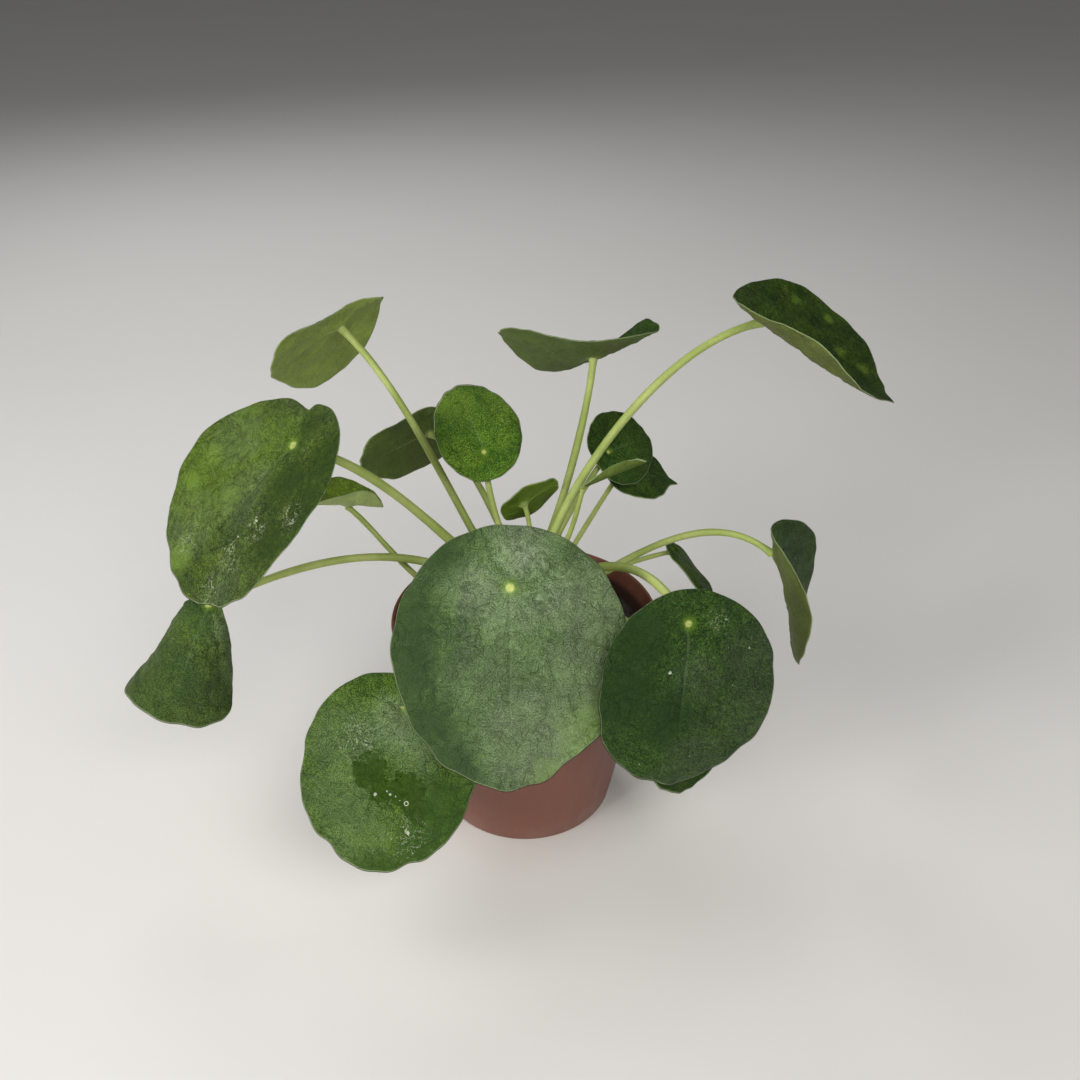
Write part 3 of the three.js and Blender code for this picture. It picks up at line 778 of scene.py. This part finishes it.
leaves = {
    "front": {
        "spot": (-5, -48, 132), "heading": -90, "tilt": 52, "turn": 0, "width": 81, "length": 91,
        "back": 0.24, "cup": (-22, -22), "droop": 20, "wave": 1.5,
        "notches": [{"at": 322, "depth": 0, "wide": 22, "cut": 0.035}],
        "stalk": {"height": 100, "from": -100, "first": (3, -16, 112),
                  "second": (-5, -32, 118), "radius": 1.9},
        "look": {
            "deep": (0.023, 0.06, 0.009), "fresh": (0.116, 0.208, 0.046), "under": (0.156, 0.19, 0.047),
            "shine": 0.5, "gloss": 0.34,
            "paintedSheen": [(-2.6, 0.6, 2.3, 0.9, 1.0), (-2.4, 2.9, 2.3, 0.9, 0.85),
                      (-0.6, -1.7, 1.8, 0.9, 0.9), (-0.8, 5.0, 2.8, 0.9, 1.0), (-3.4, 0.9, 1.4, 0.9, 0.8),
                      (0.0, 1.7, 2.6, 0.9, 0.5), (1.3, 0.0, 1.5, 0.9, 0.6), (0.9, 3.2, 2.0, 0.9, 0.5)],
            "dullAndPaintedShade": [(3.7, 0.9, 1.8, 1.0), (3.6, 2.8, 1.9, 1.0), (3.0, 4.6, 1.9, 1.0),
                     (2.2, 6.2, 1.6, 1.0), (2.4, -1.4, 1.4, 0.9)], "seed": 1.0,
            "yellow": [(-2.9, 5.0, 1.8, 0.9, 0.5), (-1.4, 6.6, 1.2, 0.9, 0.5)], "paintedSheenAmount": 1.15,
            "grain": 0.42, "dust": 0.5,
        },
    },
    "front_right": {
        "spot": (53.5, -62.9, 127.3), "heading": -73, "tilt": 66, "turn": -11, "width": 64,
        "length": 69.2, "back": 0.17, "cup": (-90, -23), "droop": 21, "flare": -0.3, "wave": 1.2,
        "phase": 40, "egg": -0.07, "shift": -3.8,
        "notches": [{"at": 225, "depth": 0, "wide": 30, "cut": -0.08},
                    {"at": 305, "depth": 0, "wide": 22, "cut": 0.04}],
        "stalk": {"height": 98, "from": -32, "first": (30, -10, 122),
                  "second": (44, -28, 132), "radius": 1.8},
        "look": {
            "deep": (0.017, 0.048, 0.007), "fresh": (0.043, 0.096, 0.011), "under": (0.144, 0.19, 0.047),
            "shine": 0.25, "gloss": 0.33, "emboss": 1.5, "grain": 0.7, "seed": 2.3, "paintedSheenAmount": 0.22,
            "paintedSheen": [(-2.5, 1.2, 1.7, 0.9), (-2.6, 3.0, 1.9, 0.9), (-0.5, 1.9, 1.2, 1.0),
                      (-0.9, 5.0, 1.9, 1.0)],
            "dullAndPaintedShade": [(1.8, 0.4, 1.9, 0.9), (2.0, 2.6, 1.8, 0.9), (0.6, 3.2, 1.4, 1.0)],
            "scribble": [(-1.0, -0.2, 0.5, 0.8)],
            "dots": [(0.55, 1.62, 0.07, 1.2), (-2.3, 0.8, 0.04, 1.0)], "dust": 0.8,
        },
    },
    "front_left": {
        "spot": (-43.6, -53.8, 84.3), "heading": -97, "tilt": 60, "turn": -9, "width": 65.7,
        "length": 70.3, "back": 0.19, "cup": (-43, 4), "droop": -15, "flare": -0.08, "wave": 1.5,
        "waves": 6, "phase": 80, "egg": 0.03, "shift": 1.6, "aside": -2.5,
        "stalk": {"height": 90, "from": -140, "first": (-14, -20, 122),
                  "second": (-33, -46, 92), "radius": 1.8},
        "look": {
            "deep": (0.04, 0.1, 0.009), "fresh": (0.124, 0.226, 0.026), "under": (0.136, 0.19, 0.047),
            "shine": 0.35, "gloss": 0.36, "seed": 3.1,
            "paintedSheen": [(2.05, 1.6, 2.0, 0.9), (0.45, 0.6, 1.6, 0.9), (1.75, 3.4, 2.0, 0.9),
                      (0.85, 4.6, 1.8, 0.9), (-0.65, 1.5, 1.2, 0.9)], "paintedSheenAmount": 0.62, "emboss": 1.7,
            "grain": 0.7, "veinShade": 1.0,
            "wet": [(0.95, 2.3, 0.85, 0.9), (0.35, 2.9, 0.6, 0.9), (-0.5, 2.7, 0.9, 0.9),
                    (-1.05, 3.3, 0.6, 0.9)],
            "dullAndPaintedShade": [(-2.05, 3.2, 1.9, 0.9), (-1.65, 4.8, 1.7, 0.9), (-0.15, 5.8, 1.4, 0.9)],
            "yellow": [(-0.05, 5.2, 1.8, 0.9, 0.35), (1.85, 3.4, 1.6, 0.9, 0.15)],
            "scribble": [(1.65, 1.4, 1.0, 0.7), (-0.95, 4.3, 1.1, 0.6)], "ring": [(-0.62, 3.13, 0.1, 0.5)],
            "dots": [(0.52, 3.06, 0.08, 2.0), (0.15, 2.86, 0.04, 1.8), (0.01, 2.95, 0.05, 1.8),
                     (-0.19, 2.98, 0.03, 1.6), (-0.37, 3.08, 0.035, 1.6), (-0.9, 4.12, 0.06, 2.0)],
            "dust": 0.9,
        },
    },
    "left": {
        "spot": (-81, -6, 165), "heading": -139, "tilt": 39, "turn": -6, "width": 76.7, "length": 83.1,
        "back": 0.21, "cup": (38, 22), "droop": 16, "flare": -0.06, "waves": 4, "phase": 60, "egg": 0.01,
        "shift": 0.6,
        "notches": [{"at": 164, "depth": 3, "wide": 8, "cut": 0.14},
                    {"at": 202, "depth": -3, "wide": 18, "cut": -0.16},
                    {"at": 110, "depth": 0, "wide": 40, "cut": 0.05},
                    {"at": 285, "depth": 0, "wide": 30, "cut": -0.05}],
        "stalk": {"height": 94, "from": 180, "first": (-24, -2, 112),
                  "second": (-48, 5, 152), "radius": 1.9},
        "look": {
            "deep": (0.03, 0.066, 0.006), "fresh": (0.11, 0.18, 0.018), "under": (0.146, 0.19, 0.047),
            "shine": 0.25, "gloss": 0.42, "emboss": 1.5, "grain": 0.7, "seed": 4.6,
            "yellow": [(2.7, 2.15, 0.5, 0.9, 0.8), (2.85, 3.4, 0.5, 0.9, 0.8),
                       (0.66, 2.75, 0.6, 0.9, 0.5), (1.2, 5.7, 1.0, 0.9, 0.8), (3.0, 0.0, 0.8, 0.9, 0.5),
                       (2.4, 3.0, 3.2, 1.0, 0.45), (1.4, 0.4, 1.8, 1.0, 0.35)],
            "scribble": [(-1.6, 3.0, 0.7, 0.6), (-1.2, 4.3, 0.9, 0.6), (-1.2, 5.6, 0.9, 0.6),
                         (-2.8, 1.8, 0.8, 0.6), (1.3, 5.0, 0.8, 0.6)],
            "paintedSheen": [(-1.7, 5.2, 1.4, 0.9, 1.0), (2.3, 1.2, 1.6, 0.9), (1.6, 4.6, 2.0, 0.9),
                      (0.2, 2.6, 1.8, 0.9)], "paintedSheenAmount": 0.42,
            "dullAndPaintedShade": [(-0.3, -0.9, 0.9, 0.9, 0.9), (-2.4, -0.4, 1.9, 0.9), (-3.2, 0.9, 1.7, 0.9),
                     (-1.4, 1.0, 1.6, 0.9), (-2.8, 2.8, 1.3, 0.9)],
            "dots": [(-1.33, 2.74, 0.06, 1.2), (-1.25, 2.65, 0.04, 1.2), (-1.0, 3.6, 0.04, 1.2)],
            "dust": 0.9,
        },
    },
    "far_left": {
        "spot": (-119.6, -11.5, 101.4), "heading": -82, "tilt": 50, "turn": -23, "width": 52.3,
        "length": 49.5, "back": 0.06, "cup": (-298, -280), "droop": 9, "flare": -0.36, "waves": 4,
        "egg": -0.49, "shift": 5.9,
        "stalk": {"height": 85, "from": 192, "first": (-34, 12, 120),
                  "second": (-80, 14, 110), "radius": 1.7},
        "look": {
            "deep": (0.032, 0.073, 0.009), "fresh": (0.078, 0.136, 0.016), "under": (0.168, 0.19, 0.047),
            "shine": 0.35, "paintedSheen": [(-1.6, 0.5, 1.6, 0.9), (-1.9, 2.0, 1.0, 0.9)], "paintedSheenAmount": 0.4,
            "gloss": 0.45, "seed": 5.2,
        },
    },
    "back_left": {
        "spot": (-74.2, 73.8, 179.3), "heading": 138, "tilt": 52, "turn": 58, "width": 49, "length": 57.1,
        "back": 0.39, "cup": (-34, -1), "droop": 13, "flare": -0.64, "egg": -0.41, "shift": 8.8,
        "stalk": {"height": 82, "from": 142, "first": (-26, 28, 112),
                  "second": (-44, 56, 156), "radius": 1.7},
        "look": {
            "deep": (0.02, 0.056, 0.008), "fresh": (0.052, 0.112, 0.014), "under": (0.262, 0.352, 0.074),
            "shine": 0.25, "seed": 6.4,
        },
    },
    "back": {
        "spot": (-40, 72, 132), "heading": 118, "tilt": 69, "turn": 68, "width": 38, "length": 46,
        "back": 0.28, "shift": 3,
        "stalk": {"height": 91, "from": 122, "first": (-10, 30, 112),
                  "second": (-22, 56, 132), "radius": 1.5},
        "look": {
            "deep": (0.02, 0.056, 0.008), "fresh": (0.052, 0.112, 0.014), "under": (0.095, 0.143, 0.033),
            "shine": 0.15, "seed": 7.7,
        },
    },
    "middle": {
        "spot": (-15.1, 17.5, 150.2), "heading": -76, "tilt": 49, "turn": -167, "width": 33.1,
        "length": 39.7, "back": 0.29, "cup": (16, -5), "droop": 11, "flare": 0.03, "wave": 0.5,
        "shift": 0.6,
        "stalk": {"height": 106, "from": 160, "first": (-10, 6, 116),
                  "second": (-14, 16, 137), "radius": 1.3},
        "look": {
            "deep": (0.04, 0.103, 0.008), "fresh": (0.115, 0.212, 0.018), "under": (0.15, 0.19, 0.047),
            "shine": 0.2, "gloss": 0.38, "seed": 8.1, "yellow": [(-0.33, 2.1, 0.9, 0.9, 0.35)],
        },
    },
    "cupped": {
        "spot": (-70, 24, 124), "heading": 21, "tilt": 14, "turn": 177, "width": 30, "length": 34,
        "back": 0.42, "cup": (60, 185), "flare": -0.5, "wave": 0.5,
        "stalk": {"height": 78, "from": 165, "first": (-42, 6, 86),
                  "second": (-54, 19, 112), "radius": 1.3},
        "look": {
            "deep": (0.112, 0.2, 0.016), "fresh": (0.202, 0.32, 0.03), "under": (0.44, 0.56, 0.19),
            "shine": 0.35, "seed": 9.9,
        },
    },
    "back_right": {
        "spot": (28.9, 65.8, 168.7), "heading": 97, "tilt": 33, "turn": 10, "width": 73.2, "length": 68.8,
        "back": 0.37, "cup": (114, 66), "droop": -7, "flare": 0.44, "egg": 0.03, "shift": -3.4,
        "stalk": {"height": 106, "from": 82, "first": (13, 17, 116),
                  "second": (27, 54, 150), "radius": 1.7},
        "look": {
            "deep": (0.02, 0.056, 0.008), "fresh": (0.054, 0.112, 0.014), "under": (0.126, 0.182, 0.048),
            "shine": 0.05, "seed": 10.5, "scribble": [(-1.9, 0.7, 1.4, 0.6)],
        },
    },
    "right": {
        "spot": (94.2, 53.4, 188.3), "heading": -19, "tilt": 32, "turn": 0, "width": 72.8, "length": 73.1,
        "back": 0.22, "cup": (110, 42), "droop": -10, "flare": -0.01, "wave": 0.8, "egg": 0.14,
        "point": 3, "shift": -2.5,
        "stalk": {"height": 106, "from": 35, "first": (10, 14, 126),
                  "second": (51, 50, 181), "radius": 1.8},
        "look": {
            "deep": (0.014, 0.038, 0.004), "fresh": (0.056, 0.104, 0.01), "under": (0.138, 0.171, 0.042),
            "shine": 0.15, "gloss": 0.46, "seed": 11.2,
            "yellow": [(-2.99, 2.32, 0.35, 0.8, 0.5), (-2.75, 0.73, 0.35, 0.8, 0.5),
                       (-1.35, 3.28, 0.4, 0.8, 0.5), (-1.2, 4.43, 0.4, 0.8, 0.5)],
        },
    },
    "young_right": {
        "spot": (35, 53, 132), "heading": -45, "tilt": 50, "turn": 85, "width": 33, "length": 35,
        "back": 0.3, "wave": 0.5,
        "stalk": {"height": 97, "from": 70, "first": (13, 26, 114),
                  "second": (29, 43, 126), "radius": 1.3},
        "look": {
            "deep": (0.019, 0.054, 0.006), "fresh": (0.048, 0.1, 0.01), "under": (0.129, 0.162, 0.04),
            "shine": 0.2, "seed": 12.8,
        },
    },
    "young_low": {
        "spot": (42, 63, 118), "heading": -43, "tilt": 28, "turn": 45, "width": 30, "length": 32,
        "back": 0.3, "wave": 0.5, "point": 4,
        "stalk": {"height": 90, "from": 50, "first": (21, 28, 104),
                  "second": (31, 46, 110), "radius": 1.2},
        "look": {
            "deep": (0.017, 0.046, 0.005), "fresh": (0.052, 0.106, 0.012), "under": (0.125, 0.152, 0.037),
            "shine": 0.2, "seed": 13.6,
        },
    },
    "rolled": {
        "spot": (22, 2, 143), "heading": 123, "tilt": 41, "turn": -122, "width": 8.5, "length": 27,
        "back": 0.05, "cup": (190, 190), "wave": 0.2, "egg": -0.4, "dimple": 0.3,
        "stalk": {"height": 104, "from": -10, "first": (19, 5, 120),
                  "second": (19, 2, 130), "radius": 1.1},
        "look": {
            "deep": (0.032, 0.08, 0.007), "fresh": (0.062, 0.128, 0.014), "under": (0.112, 0.158, 0.034),
            "shine": 0.05, "seed": 14.4,
        },
    },
    "young_middle": {
        "spot": (0.3, 18.3, 126.4), "heading": 121, "tilt": 66, "turn": -114, "width": 24.1, "length": 26,
        "back": 0.37, "cup": (-9, 22), "droop": -3, "flare": -0.17, "wave": 0.5, "egg": 0.12,
        "shift": -1.8,
        "stalk": {"height": 101, "from": 112, "first": (3, 12, 108),
                  "second": (3, 18, 118), "radius": 1.1},
        "look": {
            "deep": (0.019, 0.056, 0.008), "fresh": (0.05, 0.112, 0.014), "under": (0.14, 0.222, 0.026),
            "shine": 0.15, "seed": 15.3,
        },
    },
    "hanging": {
        "spot": (94.8, -2.7, 116.3), "heading": -10, "tilt": 72, "turn": -3, "width": 58.8,
        "length": 56.5, "back": 0.17, "cup": (120, 110), "droop": 10, "flare": -0.32, "wave": 0.5,
        "shift": -4,
        "stalk": {"height": 89, "from": -2, "first": (32, 0, 105.5),
                  "second": (68, 12, 135), "radius": 1.5},
        "look": {
            "deep": (0.016, 0.046, 0.007), "fresh": (0.04, 0.086, 0.011), "under": (0.125, 0.165, 0.037),
            "shine": 0.3, "seed": 16.9,
        },
    },
    "young_edge": {
        "spot": (58.2, 13.6, 107.6), "heading": -2, "tilt": 45, "turn": -33, "width": 19.3,
        "length": 30.7, "back": 0.16, "cup": (-22, -9), "droop": -5, "flare": 0.21, "wave": 0.5,
        "egg": 0.08, "shift": -2.7,
        "stalk": {"height": 94, "from": 22, "first": (30, 8, 101),
                  "second": (46, 15, 104), "radius": 1.1},
        "look": {
            "deep": (0.024, 0.056, 0.008), "fresh": (0.063, 0.112, 0.014), "under": (0.07, 0.078, 0.026),
            "shine": 0.1, "seed": 17.5,
        },
    },
    "low_right": {
        "spot": (59.9, -36.9, 68.2), "heading": -44, "tilt": 69, "turn": -22, "width": 39.4,
        "length": 41.3, "back": 0.24, "cup": (7, 20), "droop": 12, "flare": -0.03, "wave": 0.8,
        "egg": -0.1, "shift": 2.4,
        "stalk": {"height": 84, "from": -45, "first": (56, -35, 132),
                  "second": (49, -31, 58), "radius": 1.4},
        "look": {
            "deep": (0.019, 0.053, 0.007), "fresh": (0.051, 0.106, 0.014), "under": (0.144, 0.19, 0.047),
            "shine": 0.05, "seed": 18.2,
        },
    },
}

# thickness and unevenness in millimetres, and the faces round and across a blade from each width up
blade = {
    "middleThick": 1.0, "edgeThick": 0.55, "detail": {65: (192, 128), 45: (144, 88), 0: (104, 60)},
    "swell": 0.30, "groove": 0.32, "grooveWidth": 1.1, "rough": 1.35, "fullWidth": 60,
}


def around(phi, middle):
    return (np.degrees(phi) - middle + 180) % 360 - 180


def flatOutline(leaf, phi):
    # the blade's outline from its spot, laid flat: across and along
    along = leaf["length"] * (0.5 - leaf["back"]) + leaf["length"] / 2 * np.cos(phi)
    along = along + leaf["point"] * np.exp(-(around(phi, 0) / 9) ** 2)
    across = leaf["width"] / 2 * np.sin(phi) * (1 - leaf["egg"] * np.cos(phi))
    across = across + leaf["shift"] * np.sin(phi) ** 2
    ragged = 1 + leaf["scallop"] * (0.6 * np.sin(13 * phi + leaf["phase"]) + 0.5 * np.sin(19 * phi + 1.3)
                                    + 0.5 * np.sin(7 * phi + 2.1)) - leaf["scallop"]
    return across * ragged, along * ragged


def bladeSurface(leaf, rho, phi):
    halfWidth, halfLength = leaf["width"] / 2, leaf["length"] / 2
    across, along = flatOutline(leaf, phi)
    sink = 0
    for notch in leaf["notches"]:
        close = np.exp(-(around(phi, notch["at"]) / notch["wide"]) ** 2)
        across, along = across * (1 - notch["cut"] * close), along * (1 - notch["cut"] * close)
        sink = sink + notch["depth"] * close * rho ** 2
    across, along = across * rho, along * rho
    cup = np.where(across > 0, math.radians(leaf["cup"][0]), math.radians(leaf["cup"][1]))
    bend = cup / 2 * (1 + leaf["flare"] * along / halfLength) + 1e-6
    rise = halfWidth / bend * (1 - np.cos(bend * across / halfWidth))
    sideways = halfWidth / bend * np.sin(bend * across / halfWidth)
    arch = -math.radians(leaf["droop"]) / 2 - 1e-6
    angle = arch * along / halfLength
    forward = halfLength / arch * np.sin(angle) - rise * np.sin(angle)
    height = halfLength / arch * (1 - np.cos(angle)) + rise * np.cos(angle)
    ripple = leaf["wave"] * np.sin(leaf["waves"] * phi + math.radians(leaf["phase"]))
    height = height + rho ** 3 * ripple - sink
    reach = np.hypot(across, along)
    height = height + leaf["dimple"] * (1 - np.exp(-(reach / (0.09 * leaf["width"])) ** 2))
    return np.stack([forward, -sideways, height], -1), across, along


def leafTurn(leaf):
    heading, tilt, turn = (math.radians(leaf[key]) for key in ("heading", "tilt", "turn"))

    def aboutZ(q):
        return np.array([[math.cos(q), -math.sin(q), 0], [math.sin(q), math.cos(q), 0], [0, 0, 1]])

    lean = np.array([[math.cos(tilt), 0, math.sin(tilt)], [0, 1, 0], [-math.sin(tilt), 0, math.cos(tilt)]])
    return aboutZ(heading) @ lean @ aboutZ(turn)


def relief(across, along, rho, leaf):
    # real unevenness of the blade in millimetres: swellings between the veins, a groove at the midrib
    angle = np.arctan2(across, along)
    reach = np.hypot(across, along) / 10
    bent = angle * (1 + leafSkin["veinBend"] * reach * (1 - np.abs(angle) / math.pi))
    near = np.abs((bent / leafSkin["veinStep"] + 0.5) % 1 - 0.5) * 2
    grown = min(1.0, leaf["width"] / blade["fullWidth"])
    swell = blade["swell"] * (1 - (1 - near) ** 3) * np.sin(np.clip(rho * 1.25, 0, 1) * math.pi)
    furrow = blade["groove"] * np.exp(-(across / blade["grooveWidth"]) ** 2)
    groove = np.where(along > 0, furrow * (1 - rho), 0)
    rough = np.array([noise.noise(Vector((a * 0.13, b * 0.13, leaf["width"]))) * 0.55
                      + noise.noise(Vector((a * 0.42, b * 0.42, leaf["width"]))) * 0.18
                      + abs(noise.noise(Vector((a * 0.21, b * 0.21, leaf["length"])))) * 0.55
                      for a, b in zip(across, along)])
    calm = np.clip(rho * 2, 0, 1) * np.clip((1.06 - rho) * 6, 0.3, 1)
    return grown * (swell - groove + blade["rough"] * rough * calm)


def keepValues(piece, label, kind, field, values):
    made = piece.data.attributes.new(label, kind, "POINT")
    made.data.foreach_set(field, values.reshape(-1).astype(np.float32))


def makeBlade(name, leaf):
    detail = next(faces for width, faces in blade["detail"].items() if leaf["width"] > width)
    deselectAll()
    bpy.ops.mesh.primitive_uv_sphere_add(segments=detail[0], ring_count=detail[1], radius=1)
    piece = bpy.context.object
    piece.name = "blade_" + name
    piece.data.name = "blade_" + name
    ball = readPoints(piece.data)
    phi = -np.arctan2(ball[:, 1], ball[:, 0])
    level = np.clip(ball[:, 2], -1, 1)
    rho = np.arccos(np.abs(level)) / (math.pi / 2)
    side = np.where(np.abs(level) < 1e-4, 0.0, np.sign(level))
    middle, across, along = bladeSurface(leaf, rho, phi)
    # a small step each way on the blade gives the way it faces
    small = 0.004
    inner = np.maximum(rho - small, 0)
    outward = bladeSurface(leaf, rho + small, phi)[0] - bladeSurface(leaf, inner, phi)[0]
    sweep = bladeSurface(leaf, rho, phi + small)[0] - bladeSurface(leaf, rho, phi - small)[0]
    normal = np.cross(sweep, outward)
    length = np.linalg.norm(normal, axis=1, keepdims=True)
    normal = np.where((rho < 0.01)[:, None], np.array([0.0, 0.0, 1.0]), normal / np.maximum(length, 1e-9))
    half = (blade["middleThick"] + (blade["edgeThick"] - blade["middleThick"]) * rho) / 2
    place = middle + normal * (side * half + relief(across, along, rho, leaf))[:, None]
    place = place @ leafTurn(leaf).T + np.array(leaf["spot"], float)
    writePoints(piece.data, place * mm)
    flat = np.stack([(across - leaf["aside"]) / 10, along / 10, rho], -1)
    keepValues(piece, "leafFlat", "FLOAT_VECTOR", "vector", flat)
    keepValues(piece, "leafSide", "FLOAT", "value", side)
    pickOnly(piece)
    bpy.ops.object.shade_smooth()
    return piece


stalk = {
    "steps": 44, "swell": 0.28, "slim": 0.16, "flare": 0.25,
    "dark": (0.300, 0.385, 0.085), "light": (0.440, 0.515, 0.160), "root": (0.30, 0.25, 0.10),
    "end": (0.42, 0.52, 0.16), "fibre": (0.20, 0.28, 0.05),
}


def stalkPath(leaf, steps):
    row = leaf["stalk"]
    heading = math.radians(row["from"])
    outward = np.array([math.cos(heading), math.sin(heading), 0])
    start = np.array([trunk["x"], trunk["y"], row["height"]]) + outward * (trunk["radius"] - 1.2)
    normal = leafTurn(leaf) @ np.array([0, 0, 1.0])
    end = np.array(leaf["spot"], float) - normal * 0.35
    first, second = np.array(row["first"], float), np.array(row["second"], float)
    t = np.linspace(0, 1, steps)[:, None]
    return (1 - t) ** 3 * start + 3 * (1 - t) ** 2 * t * first + 3 * (1 - t) * t * t * second + t ** 3 * end


def makeStalk(name, leaf):
    steps = stalk["steps"]
    path = stalkPath(leaf, steps) * mm
    curve = bpy.data.curves.new("stalk_" + name, "CURVE")
    curve.dimensions = "3D"
    curve.bevel_depth = leaf["stalk"]["radius"] * mm
    curve.bevel_resolution = 6
    curve.use_fill_caps = True
    spline = curve.splines.new("POLY")
    spline.points.add(steps - 1)
    for i, point in enumerate(path):
        t = i / (steps - 1)
        spline.points[i].co = (*point, 1)
        # swollen where it leaves the trunk, slim on the way, flared under the blade
        spline.points[i].radius = (1.0 + stalk["swell"] * math.exp(-(t / 0.07) ** 2) - stalk["slim"] * t
                                   + stalk["flare"] * math.exp(-((1 - t) / 0.025) ** 2)
                                   + 0.03 * math.sin(t * 17 + leaf["width"]))
    rod = bpy.data.objects.new("stalk_" + name, curve)
    bpy.context.collection.objects.link(rod)
    pickOnly(rod)
    bpy.ops.object.convert(target="MESH")
    piece = bpy.context.object
    tidyMesh(piece, 0.000005)
    points = readPoints(piece.data)
    t = np.array([np.argmin(np.linalg.norm(path - p, axis=1)) / (steps - 1) for p in points])
    keepValues(piece, "stalkWay", "FLOAT", "value", t)
    pickOnly(piece)
    bpy.ops.object.shade_smooth_by_angle(angle=math.radians(50))
    return piece


def stalkMaterial():
    material, tree, shader = startMaterial("greenStalk", (0.38, 0.45, 0.14), IOR=1.42,
                                           Subsurface_Weight=0.12, Subsurface_Scale=0.002)
    place = objectPlace(tree)
    way = addNode(tree, "ShaderNodeAttribute", attribute_name="stalkWay").outputs["Fac"]
    cloud = noiseAt(tree, place, 60.0, 3.0)
    fibre = noiseAt(tree, place, 700.0, 3.0, 0.6)
    color = mixColor(tree, fade(tree, cloud, 0.3, 0.7), rgb(*stalk["dark"]), rgb(*stalk["light"]))
    color = mixColor(tree, fade(tree, way, 0.12, 0.0, 0.0, 0.55), color, rgb(*stalk["root"]))
    color = mixColor(tree, fade(tree, way, 0.85, 1.0, 0.0, 0.5), color, rgb(*stalk["end"]))
    color = mixColor(tree, fade(tree, fibre, 0.45, 0.75, 0.0, 0.3), color, rgb(*stalk["fibre"]))
    linkAll(tree, shader, Base_Color=color, Roughness=fade(tree, fibre, 0.3, 0.7, 0.42, 0.56),
            Normal=bumpFrom(tree, fibre, 0.3, 0.0003))
    return material


stalkLook = stalkMaterial()
for name, row in leaves.items():
    leaf = {**plain, **row}
    handOver(makeBlade(name, leaf), "leaf_" + name, bladeMaterial(name, leaf))
    handOver(makeStalk(name, leaf), "stalk_" + name, stalkLook)
print("blades and stalks ready")

deselectAll()
